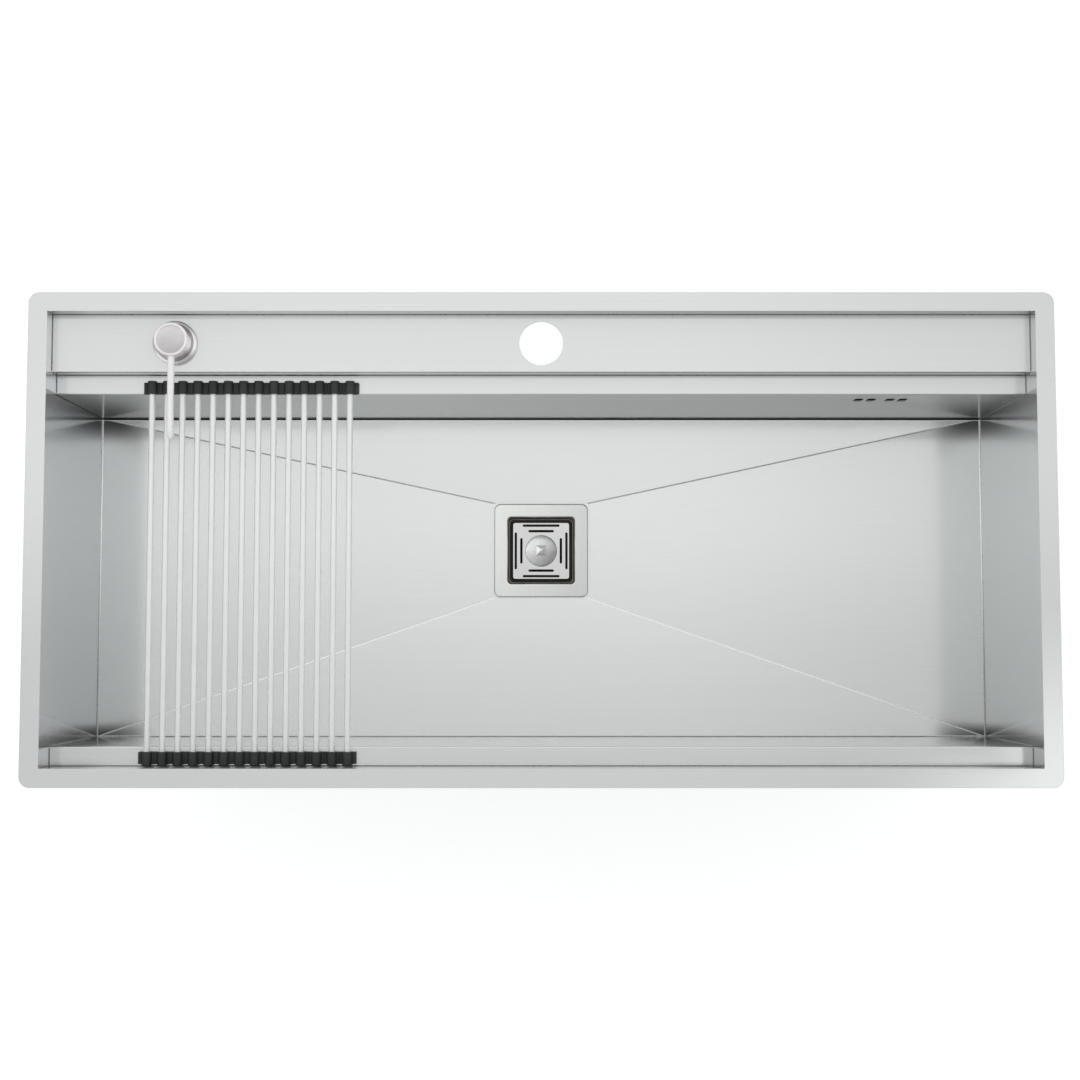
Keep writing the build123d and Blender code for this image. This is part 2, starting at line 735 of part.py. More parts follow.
with BuildPart() as overflow_housing:
    with BuildSketch(box_plane):
        with Locations((overflow_x, overflow_slot_z)):
            Rectangle(overflow_face_width, overflow_face_height)
    extrude(amount=-overflow_box_depth)
    with BuildSketch(box_plane):
        with Locations((overflow_x, overflow_slot_z)):
            Rectangle(overflow_face_width + 2 * overflow_ear_length, overflow_slot_height)
    extrude(amount=-overflow_ear_thickness)
    tube(overflow_x, overflow_pipe_y, spigot_bottom_z, overflow_bottom_z, pipe_diameter)
    with BuildSketch(box_plane):
        with Locations((overflow_x, overflow_slot_z)):
            Rectangle(window_width, window_height)
    extrude(amount=overflow_wall - overflow_box_depth, mode=Mode.SUBTRACT)
    with BuildSketch(Plane.XY.offset(spigot_bottom_z)):
        with Locations((overflow_x, overflow_pipe_y)):
            Circle(pipe_bore / 2)
    extrude(amount=overflow_slot_z - spigot_bottom_z, mode=Mode.SUBTRACT)
    with BuildSketch(box_plane):
        with Locations(*stud_places):
            Circle(stud_hole / 2)
    extrude(amount=-overflow_ear_thickness, mode=Mode.SUBTRACT)
overflow_housing.part.label = "overflow_housing"
export_step(overflow_housing.part, "parts/overflow_housing.step")

with BuildPart() as overflow_studs:
    with BuildSketch(gasket_plane):
        with Locations(*stud_places):
            Circle(overflow_stud_diameter / 2)
    extrude(amount=back_wall_y + sheet - stud_end_y)
overflow_studs.part.label = "overflow_studs"
export_step(overflow_studs.part, "parts/overflow_studs.step")

with BuildPart() as overflow_nuts:
    with BuildSketch(Plane.XZ.offset(-(overflow_box_y + overflow_ear_thickness))):
        with Locations(*stud_places):
            RegularPolygon(overflow_nut_across / 2, hexagon_sides, major_radius=False)
            Circle(overflow_stud_diameter / 2 + thread_fit, mode=Mode.SUBTRACT)
    extrude(amount=-overflow_nut_height)
overflow_nuts.part.label = "overflow_nuts"
export_step(overflow_nuts.part, "parts/overflow_nuts.step")

# Overflow pipe from the box down and across to the waste, with a seal and a sleeve nut at each end
pipe_top_z = spigot_bottom_z - pipe_seal_thickness
pipe_end_run = branch_reach + pipe_seal_thickness
with BuildPart() as overflow_pipe:
    with BuildLine(pipe_plane) as pipe_path:
        FilletPolyline(
            (pipe_run, pipe_top_z), (pipe_run, branch_z), (pipe_end_run, branch_z), radius=pipe_bend_radius
        )
    with BuildSketch(Plane(origin=pipe_path.line @ 0, z_dir=pipe_path.line % 0)):
        Circle(pipe_diameter / 2)
        Circle(pipe_bore / 2, mode=Mode.SUBTRACT)
    sweep()
overflow_pipe.part.label = "overflow_pipe"
export_step(overflow_pipe.part, "parts/overflow_pipe.step")


def across(start_run, end_run, outer_diameter, bore):
    """Tube that lies along the pipe's level stretch, between two distances from the drain."""
    with BuildSketch(branch_plane.offset(start_run)) as section:
        Circle(outer_diameter / 2)
        Circle(bore / 2, mode=Mode.SUBTRACT)
    extrude(section.sketch, amount=end_run - start_run)


with BuildPart() as overflow_pipe_seals:
    tube(overflow_x, overflow_pipe_y, pipe_top_z, spigot_bottom_z, pipe_diameter, pipe_bore)
    across(branch_reach, pipe_end_run, pipe_diameter, pipe_bore)
overflow_pipe_seals.part.label = "overflow_pipe_seals"
export_step(overflow_pipe_seals.part, "parts/overflow_pipe_seals.step")

pipe_nut_bore = pipe_diameter + 2 * thread_fit
with BuildPart() as overflow_pipe_nuts:
    upper_nut_z = (spigot_bottom_z + pipe_top_z - pipe_nut_length) / 2
    inner_nut_run = (branch_reach + pipe_end_run - pipe_nut_length) / 2
    upper_nut_top_z = upper_nut_z + pipe_nut_length
    tube(overflow_x, overflow_pipe_y, upper_nut_z, upper_nut_top_z, pipe_nut_diameter, pipe_nut_bore)
    across(inner_nut_run, inner_nut_run + pipe_nut_length, pipe_nut_diameter, pipe_nut_bore)
overflow_pipe_nuts.part.label = "overflow_pipe_nuts"
export_step(overflow_pipe_nuts.part, "parts/overflow_pipe_nuts.step")

# Soap dispenser: levels from the ledge upwards and downwards
soap_y = ledge_middle_y
soap_base_z = tap_ledge_z + soap_gasket_thickness
soap_flange_top_z = soap_base_z + soap_flange_height
soap_collar_top_z = soap_flange_top_z + soap_collar_height
soap_shank_bottom_z = soap_base_z - soap_shank_length
soap_nut_top_z = tap_ledge_z - sheet
soap_head_z = soap_collar_top_z + soap_stroke + soap_head_gap
soap_head_top_z = soap_head_z + soap_head_height
soap_spout_z = soap_head_z + soap_spout_level
soap_pump_diameter = soap_pump_bore + 2 * soap_pump_wall
soap_pump_hole = soap_pump_diameter + 2 * soap_pump_fit
soap_pump_lip_diameter = soap_pump_diameter + 2 * soap_pump_lip_width
soap_pump_seat_z = soap_collar_top_z - soap_pump_lip
soap_pump_bottom_z = soap_collar_top_z - soap_pump_length
soap_pump_floor_z = soap_pump_bottom_z + soap_pump_floor
soap_piston_top_z = soap_pump_seat_z - soap_piston_drop
soap_piston_bottom_z = soap_piston_top_z - soap_piston_height

with BuildPart() as soap_gasket:
    soap_gasket_diameter = soap_flange_diameter - 2 * soap_gasket_margin
    tube(soap_x, soap_y, tap_ledge_z, soap_base_z, soap_gasket_diameter, soap_hole_diameter)
soap_gasket.part.label = "soap_gasket"
export_step(soap_gasket.part, "parts/soap_gasket.step")

with BuildPart() as soap_base:
    tube(soap_x, soap_y, soap_base_z, soap_flange_top_z, soap_flange_diameter)
    fillet(soap_base.faces().sort_by(Axis.Z)[-1].edges(), radius=soap_flange_round)
    tube(soap_x, soap_y, soap_flange_top_z, soap_collar_top_z, soap_collar_diameter)
    tube(soap_x, soap_y, soap_shank_bottom_z, soap_base_z, soap_shank_diameter)
    with BuildSketch(Plane.XY.offset(soap_shank_bottom_z)):
        with Locations((soap_x, soap_y)):
            Circle(soap_pump_hole / 2)
    extrude(amount=soap_collar_top_z - soap_shank_bottom_z, mode=Mode.SUBTRACT)
    with BuildSketch(Plane.XY.offset(soap_pump_seat_z)):
        with Locations((soap_x, soap_y)):
            Circle(soap_pump_lip_diameter / 2 + soap_pump_fit)
    extrude(amount=soap_pump_lip, mode=Mode.SUBTRACT)
soap_base.part.label = "soap_base"
export_step(soap_base.part, "parts/soap_base.step")

with BuildPart() as soap_lock_nut:
    with BuildSketch(Plane.XY.offset(soap_nut_top_z - soap_nut_height)):
        with Locations((soap_x, soap_y)):
            RegularPolygon(soap_shank_diameter / 2 + soap_nut_wall, hexagon_sides)
            Circle(soap_shank_diameter / 2 + thread_fit, mode=Mode.SUBTRACT)
    extrude(amount=soap_nut_height)
soap_lock_nut.part.label = "soap_lock_nut"
export_step(soap_lock_nut.part, "parts/soap_lock_nut.step")

# Bottle: a neck on the foot of the shank, a shoulder and a straight body
neck_inside = soap_shank_diameter / 2 + thread_fit
neck_outside = neck_inside + soap_bottle_neck_wall
bottle_outside = soap_bottle_diameter / 2
bottle_inside = bottle_outside - soap_bottle_wall
bottle_neck_top_z = soap_shank_bottom_z + soap_bottle_neck_length
bottle_shoulder_z = soap_shank_bottom_z - soap_bottle_shoulder
bottle_bottom_z = bottle_neck_top_z - soap_bottle_length
with BuildPart() as soap_bottle:
    turn(
        soap_x,
        soap_y,
        [
            (neck_inside, bottle_neck_top_z),
            (neck_outside, bottle_neck_top_z),
            (neck_outside, soap_shank_bottom_z),
            (bottle_outside, bottle_shoulder_z),
            (bottle_outside, bottle_bottom_z),
            (0, bottle_bottom_z),
            (0, bottle_bottom_z + soap_bottle_wall),
            (bottle_inside, bottle_bottom_z + soap_bottle_wall),
            (bottle_inside, bottle_shoulder_z - soap_bottle_wall),
            (neck_inside, soap_shank_bottom_z - soap_bottle_wall),
        ],
    )
soap_bottle.part.label = "soap_bottle"
export_step(soap_bottle.part, "parts/soap_bottle.step")

# Pump cylinder: hangs by its lip in the collar, guides the stem and ends in a nipple for the dip tube
nipple_diameter = soap_dip_bore - 2 * soap_dip_fit
stem_guide = soap_stem_diameter + 2 * soap_stem_fit
with BuildPart() as soap_cylinder:
    turn(
        soap_x,
        soap_y,
        [
            (stem_guide / 2, soap_collar_top_z),
            (soap_pump_lip_diameter / 2, soap_collar_top_z),
            (soap_pump_lip_diameter / 2, soap_pump_seat_z),
            (soap_pump_diameter / 2, soap_pump_seat_z),
            (soap_pump_diameter / 2, soap_pump_bottom_z),
            (nipple_diameter / 2, soap_pump_bottom_z),
            (nipple_diameter / 2, soap_pump_bottom_z - soap_nipple_length),
            (soap_nipple_bore / 2, soap_pump_bottom_z - soap_nipple_length),
            (soap_nipple_bore / 2, soap_pump_floor_z),
            (soap_pump_bore / 2, soap_pump_floor_z),
            (soap_pump_bore / 2, soap_pump_seat_z),
            (stem_guide / 2, soap_pump_seat_z),
        ],
    )
soap_cylinder.part.label = "soap_cylinder"
export_step(soap_cylinder.part, "parts/soap_cylinder.step")

with BuildPart() as soap_dip_tube:
    dip_bottom_z = bottle_bottom_z + soap_bottle_wall + soap_dip_floor_gap
    tube(
        soap_x, soap_y, dip_bottom_z, soap_pump_bottom_z, soap_dip_bore + 2 * soap_dip_wall, soap_dip_bore
    )
soap_dip_tube.part.label = "soap_dip_tube"
export_step(soap_dip_tube.part, "parts/soap_dip_tube.step")

with BuildPart() as soap_spring:
    spring_bore = soap_spring_diameter - 2 * soap_spring_wire
    tube(soap_x, soap_y, soap_pump_floor_z, soap_piston_bottom_z, soap_spring_diameter, spring_bore)
soap_spring.part.label = "soap_spring"
export_step(soap_spring.part, "parts/soap_spring.step")

# Plunger: hollow stem with a grooved piston, and the seal in the groove
piston_radius = soap_pump_bore / 2 - soap_pump_fit
groove_bottom_z = (soap_piston_top_z + soap_piston_bottom_z - soap_piston_seal_height) / 2
groove_top_z = groove_bottom_z + soap_piston_seal_height
groove_radius = piston_radius - soap_piston_seal_depth
stem_top_z = soap_head_z + soap_stem_insertion
with BuildPart() as soap_plunger:
    turn(
        soap_x,
        soap_y,
        [
            (soap_stem_bore / 2, stem_top_z),
            (soap_stem_diameter / 2, stem_top_z),
            (soap_stem_diameter / 2, soap_piston_top_z),
            (piston_radius, soap_piston_top_z),
            (piston_radius, groove_top_z),
            (groove_radius, groove_top_z),
            (groove_radius, groove_bottom_z),
            (piston_radius, groove_bottom_z),
            (piston_radius, soap_piston_bottom_z),
            (soap_stem_bore / 2, soap_piston_bottom_z),
        ],
    )
soap_plunger.part.label = "soap_plunger"
export_step(soap_plunger.part, "parts/soap_plunger.step")

with BuildPart() as soap_piston_seal:
    tube(soap_x, soap_y, groove_bottom_z, groove_top_z, 2 * piston_radius, 2 * groove_radius)
soap_piston_seal.part.label = "soap_piston_seal"
export_step(soap_piston_seal.part, "parts/soap_piston_seal.step")

# Press head with a socket for the stem below and one for the spout in front
spout_plane = Plane(origin=(soap_x, soap_y, soap_spout_z), x_dir=(1, 0, 0), z_dir=(0, -1, 0))
spout_start = soap_head_diameter / 2 - soap_spout_insertion
with BuildPart() as soap_head:
    tube(soap_x, soap_y, soap_head_z, soap_head_top_z, soap_head_diameter)
    fillet(soap_head.faces().sort_by(Axis.Z)[-1].edges(), radius=soap_head_round)
    with BuildSketch(Plane.XY.offset(soap_head_z)):
        with Locations((soap_x, soap_y)):
            Circle(soap_stem_diameter / 2 + soap_stem_fit)
    extrude(amount=soap_stem_insertion, mode=Mode.SUBTRACT)
    with BuildSketch(spout_plane.offset(spout_start)):
        Circle(soap_spout_diameter / 2 + soap_spout_fit)
    extrude(amount=soap_spout_insertion, mode=Mode.SUBTRACT)
soap_head.part.label = "soap_head"
export_step(soap_head.part, "parts/soap_head.step")

bend_angle = math.radians(soap_spout_bend_angle)
bend_start = soap_spout_reach - soap_spout_bend_radius * math.sin(bend_angle)
with BuildPart() as soap_spout:
    with BuildLine(Plane.YZ.offset(soap_x)) as spout_path:
        straight = Line((soap_y - spout_start, soap_spout_z), (soap_y - bend_start, soap_spout_z))
        JernArc(straight @ 1, straight % 1, soap_spout_bend_radius, soap_spout_bend_angle)
    with BuildSketch(spout_plane.offset(spout_start)):
        Circle(soap_spout_diameter / 2)
        Circle(soap_spout_diameter / 2 - soap_spout_wall, mode=Mode.SUBTRACT)
    sweep()
soap_spout.part.label = "soap_spout"
export_step(soap_spout.part, "parts/soap_spout.step")

# Rack: rods between two silicone strips that lie on the accessory ledges
knuckle_radius = rod_diameter / 2 + knuckle_wall
rod_z = accessory_z + rack_seat_gap + knuckle_radius
rack_front_y = front_y + rack_front_gap
rack_back_y = tap_front_y - rack_back_gap
strip_faces = [(rack_back_y - strip_width, 1), (rack_front_y + strip_width, -1)]
rod_front_y = rack_front_y + strip_width - rod_insertion
rod_back_y = rack_back_y - strip_width + rod_insertion
rod_xs = [first_rod_x + number * rod_pitch for number in range(rod_count)]
flat_rods = rod_count - rolling_rods


def strip(xs, left_x, right_x, inner_y, outward):
    """Silicone strip with a knuckle round each rod; the rods enter it at inner_y."""
    strip_plane = Plane.XZ.offset(-inner_y)
    with BuildSketch(strip_plane) as knuckles:
        with Locations(*[(x, rod_z) for x in xs]):
            Circle(knuckle_radius)
    extrude(knuckles.sketch, amount=-outward * strip_width)
    with BuildSketch(strip_plane.offset(-outward * web_inset)) as web:
        with Locations(((left_x + right_x) / 2, rod_z - web_thickness / 2)):
            Rectangle(right_x - left_x, web_thickness)
    extrude(web.sketch, amount=-outward * (strip_width - 2 * web_inset))
    with BuildSketch(strip_plane) as bores:
        with Locations(*[(x, rod_z) for x in xs]):
            Circle(rod_diameter / 2 + rod_fit)
    extrude(bores.sketch, amount=-outward * rod_insertion, mode=Mode.SUBTRACT)


def rods(xs):
    """Steel rods at the given places, from strip to strip."""
    with BuildSketch(Plane.XZ.offset(-rod_back_y)) as sections:
        with Locations(*[(x, rod_z) for x in xs]):
            Circle(rod_diameter / 2)
    extrude(sections.sketch, amount=rod_back_y - rod_front_y)


flat_xs = rod_xs[:flat_rods]
flat_left_x = flat_xs[0] - strip_end_tab
flat_right_x = flat_xs[-1] + (rod_pitch - rack_hinge_gap) / 2

with BuildPart() as rack_rods:
    rods(flat_xs)
rack_rods.part.label = "rack_rods"
export_step(rack_rods.part, "parts/rack_rods.step")

with BuildPart() as rack_back_strip:
    strip(flat_xs, flat_left_x, flat_right_x, *strip_faces[0])
rack_back_strip.part.label = "rack_back_strip"
export_step(rack_back_strip.part, "parts/rack_back_strip.step")

with BuildPart() as rack_front_strip:
    strip(flat_xs, flat_left_x, flat_right_x, *strip_faces[1])
rack_front_strip.part.label = "rack_front_strip"
export_step(rack_front_strip.part, "parts/rack_front_strip.step")

# The right-hand rods roll up, each with its own knuckles and half of the web on each side
for number in range(flat_rods, rod_count):
    rod_x = rod_xs[number]
    link_left_x = rod_x - (rod_pitch - rack_hinge_gap) / 2
    link_right_x = rod_x + (rod_pitch - rack_hinge_gap) / 2
    if number == rod_count - 1:
        link_right_x = rod_x + strip_end_tab
    with BuildPart() as rack_rod:
        rods([rod_x])
    rack_rod.part.label = f"rack_rod_{number + 1}"
    export_step(rack_rod.part, f"parts/rack_rod_{number + 1}.step")
    with BuildPart() as rack_knuckles:
        for inner_y, outward in strip_faces:
            strip([rod_x], link_left_x, link_right_x, inner_y, outward)
    rack_knuckles.part.label = f"rack_knuckles_{number + 1}"
    export_step(rack_knuckles.part, f"parts/rack_knuckles_{number + 1}.step")
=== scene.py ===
import json
import math
from functools import partial

import bmesh
import bpy
from mathutils import Matrix, Vector


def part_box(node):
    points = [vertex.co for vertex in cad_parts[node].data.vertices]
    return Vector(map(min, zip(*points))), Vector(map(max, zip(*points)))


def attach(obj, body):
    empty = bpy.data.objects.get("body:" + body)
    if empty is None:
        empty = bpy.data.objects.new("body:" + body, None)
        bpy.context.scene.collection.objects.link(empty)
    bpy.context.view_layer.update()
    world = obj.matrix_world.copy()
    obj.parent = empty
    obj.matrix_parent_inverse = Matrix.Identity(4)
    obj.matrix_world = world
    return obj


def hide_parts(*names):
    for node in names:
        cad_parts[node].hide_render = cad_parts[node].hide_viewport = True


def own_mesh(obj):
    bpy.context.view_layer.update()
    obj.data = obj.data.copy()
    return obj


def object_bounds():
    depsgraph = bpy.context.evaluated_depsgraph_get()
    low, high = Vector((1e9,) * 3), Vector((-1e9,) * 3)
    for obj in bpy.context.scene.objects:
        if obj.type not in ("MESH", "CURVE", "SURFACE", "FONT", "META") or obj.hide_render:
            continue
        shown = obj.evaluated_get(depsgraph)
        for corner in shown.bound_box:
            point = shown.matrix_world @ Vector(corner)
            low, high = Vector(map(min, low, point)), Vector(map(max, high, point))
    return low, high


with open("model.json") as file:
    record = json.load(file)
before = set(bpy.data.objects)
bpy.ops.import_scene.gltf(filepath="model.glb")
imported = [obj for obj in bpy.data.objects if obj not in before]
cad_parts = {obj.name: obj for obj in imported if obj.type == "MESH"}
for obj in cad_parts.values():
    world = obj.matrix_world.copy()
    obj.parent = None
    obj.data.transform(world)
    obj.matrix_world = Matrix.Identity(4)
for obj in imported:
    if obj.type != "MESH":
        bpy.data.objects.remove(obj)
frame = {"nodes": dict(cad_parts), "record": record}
cad_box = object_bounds()
scene = bpy.context.scene
mm = 0.001


def span(node):
    """Lowest and highest corner of a node, in millimetres."""
    return [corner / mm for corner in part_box(node)]


# Places of the sheets, the drain, the strainer and the soap pump, in millimetres
sheet = 1.2
floor_low, floor_high = span("floor_pan")
half_length = floor_high.x
front_wall_y, back_wall_y = floor_low.y, floor_high.y
floor_edge_z, drain_pad_z = floor_high.z, floor_low.z + sheet
accessory_z = span("back_wall")[1].z
tap_ledge_z = span("tap_ledge")[1].z
tap_front_y = span("tap_ledge")[0].y
drop_top_z = span("back_drop")[1].z
back_y, front_y = span("back_drop")[0].y, span("front_drop")[1].y
flange_low, flange_high = span("drain_flange")
plate_top = span("strainer_plate")[0].z + sheet
knob_low, knob_high = span("strainer_knob")
base_low, base_high = span("soap_base")
head_low, head_high = span("soap_head")
spout_high = span("soap_spout")[1]
soap_x, soap_y = (base_low.x + base_high.x) / 2, (base_low.y + base_high.y) / 2


# Finishes

def preset(node, values):
    """Sets plain values of a node's inputs."""
    for name, value in values.items():
        node.inputs[name].default_value = value


def node_material(name, colour, rough, metal=0.0):
    """Principled material with its plain values set; returns it with its node tree and shader."""
    material = bpy.data.materials.new(name)
    material.use_nodes = True
    tree = material.node_tree
    shader = tree.nodes["Principled BSDF"]
    preset(shader, {"Base Color": (*colour, 1), "Roughness": rough, "Metallic": metal})
    return material, tree, shader


def object_noise(tree, scale, detail=3.0, roughness=0.55):
    """Noise on Object coordinates, stretched by a scale of three numbers."""
    place = tree.nodes.new("ShaderNodeTexCoord")
    mapping = tree.nodes.new("ShaderNodeMapping")
    preset(mapping, {"Scale": scale})
    noise = tree.nodes.new("ShaderNodeTexNoise")
    preset(noise, {"Scale": 1.0, "Detail": detail, "Roughness": roughness})
    tree.links.new(place.outputs["Object"], mapping.inputs["Vector"])
    tree.links.new(mapping.outputs["Vector"], noise.inputs["Vector"])
    return noise.outputs["Fac"]


def spread(tree, value, low, high, start=0.3, stop=0.7, soft=False):
    """A value from start to stop, spread to low and high."""
    ranged = tree.nodes.new("ShaderNodeMapRange")
    if soft:
        ranged.interpolation_type = "SMOOTHSTEP"
    preset(ranged, {"From Min": start, "From Max": stop, "To Min": low, "To Max": high})
    tree.links.new(value, ranged.inputs["Value"])
    return ranged.outputs["Result"]


def combine(tree, operation, first, second=None):
    """Two values put together by a Math node."""
    made = tree.nodes.new("ShaderNodeMath")
    made.operation = operation
    tree.links.new(first, made.inputs[0])
    if second is not None:
        tree.links.new(second, made.inputs[1])
    return made.outputs["Value"]


def tint(tree, value, dark, light):
    """Colour between dark and light."""
    ramp = tree.nodes.new("ShaderNodeValToRGB")
    ramp.color_ramp.elements[0].position = 0.3
    ramp.color_ramp.elements[1].position = 0.7
    ramp.color_ramp.elements[0].color = (*dark, 1)
    ramp.color_ramp.elements[1].color = (*light, 1)
    tree.links.new(value, ramp.inputs["Fac"])
    return ramp.outputs["Color"]


def relief(tree, shader, value, strength, height):
    """Bump from a pattern, with its height in metres."""
    bump = tree.nodes.new("ShaderNodeBump")
    preset(bump, {"Strength": strength, "Distance": height})
    tree.links.new(value, bump.inputs["Height"])
    tree.links.new(bump.outputs["Normal"], shader.inputs["Normal"])


def dress(tree, shader, colour, gloss):
    """Links a colour and a roughness to the shader."""
    tree.links.new(colour, shader.inputs["Base Color"])
    tree.links.new(gloss, shader.inputs["Roughness"])


def scaled(tree, colour, tone):
    """Colour made lighter or darker by a tone."""
    toned = tree.nodes.new("ShaderNodeVectorMath")
    toned.operation = "SCALE"
    tree.links.new(colour, toned.inputs[0])
    tree.links.new(tone, toned.inputs["Scale"])
    return toned.outputs["Vector"]


def object_axes(tree, output="Object"):
    """X, Y and Z of the place, or of the way a face is turned."""
    place = tree.nodes.new("ShaderNodeTexCoord")
    split = tree.nodes.new("ShaderNodeSeparateXYZ")
    tree.links.new(place.outputs[output], split.inputs["Vector"])
    return [split.outputs[axis] for axis in "XYZ"]


def outward(tree):
    """1 on faces turned out of the bowl, 0 on faces turned into it or up."""
    place = tree.nodes.new("ShaderNodeTexCoord")
    facing = tree.nodes.new("ShaderNodeVectorMath")
    facing.operation = "DOT_PRODUCT"
    tree.links.new(place.outputs["Object"], facing.inputs[0])
    tree.links.new(place.outputs["Normal"], facing.inputs[1])
    return spread(tree, facing.outputs["Value"], 0, 1, 0.02, 0.06)


def near_corners(tree, low, high, inner, outer):
    """Low on the open floor, high in the bowl's four corners, between two distances from the end walls."""
    x, y, _ = object_axes(tree)
    from_middle = combine(tree, "ABSOLUTE", x)
    to_end = spread(tree, from_middle, 0, 1, (half_length - inner) * mm, (half_length - outer) * mm, True)
    to_back = spread(tree, y, 0, 1, (back_wall_y - 31) * mm, (back_wall_y - 4) * mm, True)
    to_front = spread(tree, y, 0, 1, (front_wall_y + 19) * mm, (front_wall_y + 1) * mm, True)
    corner = combine(tree, "MULTIPLY", to_end, combine(tree, "MAXIMUM", to_back, to_front))
    return spread(tree, corner, low, high, 0, 1)


def front_facing_shade(tree, left=0.34, right=0.6, corner=0.66):
    """Painted shade: 1 on level sheet; less on faces turned to the front, and by the ends on faces turned to
    the back.
    """
    shade = spread(tree, object_axes(tree)[0], left, right, -0.25, 0.14, True)
    shade = combine(tree, "MAXIMUM", shade, near_corners(tree, 0, corner, 75, 8))
    facing = object_axes(tree, "Normal")[1]
    to_front = combine(tree, "MULTIPLY", spread(tree, facing, 1.0, 0.0, -0.9, -0.3), shade)
    by_ends = near_corners(tree, 0, 0.86, 62, 28)
    to_back = combine(tree, "MULTIPLY", spread(tree, facing, 0.0, 1.0, 0.3, 0.9), by_ends)
    return spread(tree, combine(tree, "MAXIMUM", to_front, to_back), 1.0, 0.0, 0, 1)


def floor_corner_shade(tree):
    """Painted shade in the floor's front corners, and where the two end facets run into the back ones."""
    sloped = combine(tree, "ABSOLUTE", object_axes(tree, "Normal")[0])
    front_half = spread(tree, object_axes(tree)[1], 0.75, 0, -0.05, 0.0)
    # pressed: the sloped end facets and the front half, where the corner shade is painted.
    pressed = combine(tree, "MAXIMUM", spread(tree, sloped, 0, 1, 0.003, 0.006), front_half)
    painted_corner_shade = combine(tree, "MULTIPLY", pressed, near_corners(tree, 0, 1, 66, 18))
    return spread(tree, painted_corner_shade, 1.0, 0.2, 0, 1)


def end_wall_shade(tree, ledge):
    """Painted shade on the end walls, darker by the bowl's front and back walls; beyond them, at the ends of
    the ledges, brought back to the ledge level.
    """
    y = object_axes(tree)[1]
    behind = spread(tree, y, 0, 1, back_wall_y * mm, (back_wall_y + 1.5) * mm)
    before = spread(tree, y, 0, 1, front_wall_y * mm, (front_wall_y - 1.5) * mm)
    beyond = spread(tree, combine(tree, "MAXIMUM", behind, before), 0, ledge, 0, 1)
    front_corner = spread(tree, y, 0.6, 1.0, (front_wall_y + 3) * mm, (front_wall_y + 16) * mm, True)
    in_bowl = combine(tree, "MULTIPLY", near_corners(tree, 1.0, 0.5, 66, 18), front_corner)
    return combine(tree, "MAXIMUM", in_bowl, beyond)


def seam_highlight_fade(tree):
    """Painted highlight on the bright seams, weaker towards the front of the bowl."""
    return spread(tree, object_axes(tree)[1], 0.5, 1.0, -0.13, 0.03)


def flange_side_light(tree):
    """Painted light and shade: lighter on the left of the drain, darker on the right."""
    return spread(tree, object_axes(tree)[0], 1.04, 0.85, -0.05, 0.05)


def painted_side_light(tree, low, high):
    """Painted light and shade: high on faces turned to the left and the back, low on faces turned to the
    right and the front.
    """
    x, y, _ = object_axes(tree, "Normal")
    leftward = spread(tree, x, 1.0, 0.3, -0.4, 0.4)
    backward = spread(tree, y, 0.0, 0.6, -0.4, 0.4)
    return spread(tree, combine(tree, "ADD", leftward, backward), low, high, 0.6, 1.3)


def ring_painted_reflection(tree):
    """Painted reflection: three bright and three dark stretches round the pump's axis, as turned chrome shows
    them.
    """
    x, y, _ = object_axes(tree)
    across = spread(tree, x, -1, 1, soap_x * mm - 1, soap_x * mm + 1)
    along_y = spread(tree, y, -1, 1, soap_y * mm - 1, soap_y * mm + 1)
    angle = combine(tree, "ARCTAN2", along_y, across)
    thrice = spread(tree, angle, -3 * math.pi, 3 * math.pi, -math.pi, math.pi)
    return spread(tree, combine(tree, "COSINE", thrice), 0.56, 1.06, -0.7, 0.7)


def press_face_light(tree):
    """Painted light: paler at the back of the pressed face."""
    return spread(tree, object_axes(tree)[1], 0.86, 1.14, (soap_y - 12) * mm, (soap_y + 10) * mm)


def grained_steel(name, grain, dark, light, rough, tone=None, metal=1.0, outside=None):
    """Brushed steel: fine lines along the grain in colour, gloss and relief, under painted light and shade of
    its place.

    A sheet of the bowl also has an outside level, for the duller mill finish on its faces turned outwards.
    """
    material, tree, shader = node_material(name, light, rough[0], metal)
    lines = object_noise(tree, grain, 3.0, 0.6)
    colour = tint(tree, lines, dark, light)
    gloss = spread(tree, lines, *rough)
    # The tone is painted light and shade of the place.
    level = tone(tree) if tone else None
    if outside:
        out = outward(tree)
        inner = spread(tree, out, 1, 0, 0, 1)
        if level:
            inner = combine(tree, "MULTIPLY", inner, level)
        level = combine(tree, "ADD", inner, spread(tree, out, 0, outside, 0, 1))
        gloss = combine(tree, "ADD", gloss, spread(tree, out, 0, 0.2, 0, 1))
    if level:
        colour = scaled(tree, colour, level)
    dress(tree, shader, colour, gloss)
    relief(tree, shader, lines, 0.03, 0.0001)
    return material


def spun_steel(name, dark, light, rough):
    """Steel spun round the drain's axis: gloss in rings, painted highlights that change round the axis, and
    painted light and shade by the way each face is turned.
    """
    material, tree, shader = node_material(name, light, rough[0], 0.9)
    preset(shader, {"Anisotropic": 0.7})
    x, y, _ = object_axes(tree)
    painted_spin_highlights = tree.nodes.new("ShaderNodeTexNoise")
    painted_spin_highlights.noise_dimensions = "1D"
    preset(painted_spin_highlights, {"Scale": 2.2, "Detail": 5.0})
    tree.links.new(combine(tree, "ARCTAN2", y, x), painted_spin_highlights.inputs["W"])
    rings = object_noise(tree, (900, 900, 900), 2.0)
    direction = tree.nodes.new("ShaderNodeTangent")
    direction.direction_type = "RADIAL"
    direction.axis = "Z"
    tree.links.new(direction.outputs["Tangent"], shader.inputs["Tangent"])
    colour = scaled(tree, tint(tree, painted_spin_highlights.outputs["Fac"], dark, light), painted_side_light(tree, 0.42, 1.08))
    dress(tree, shader, colour, spread(tree, rings, *rough))
    return material


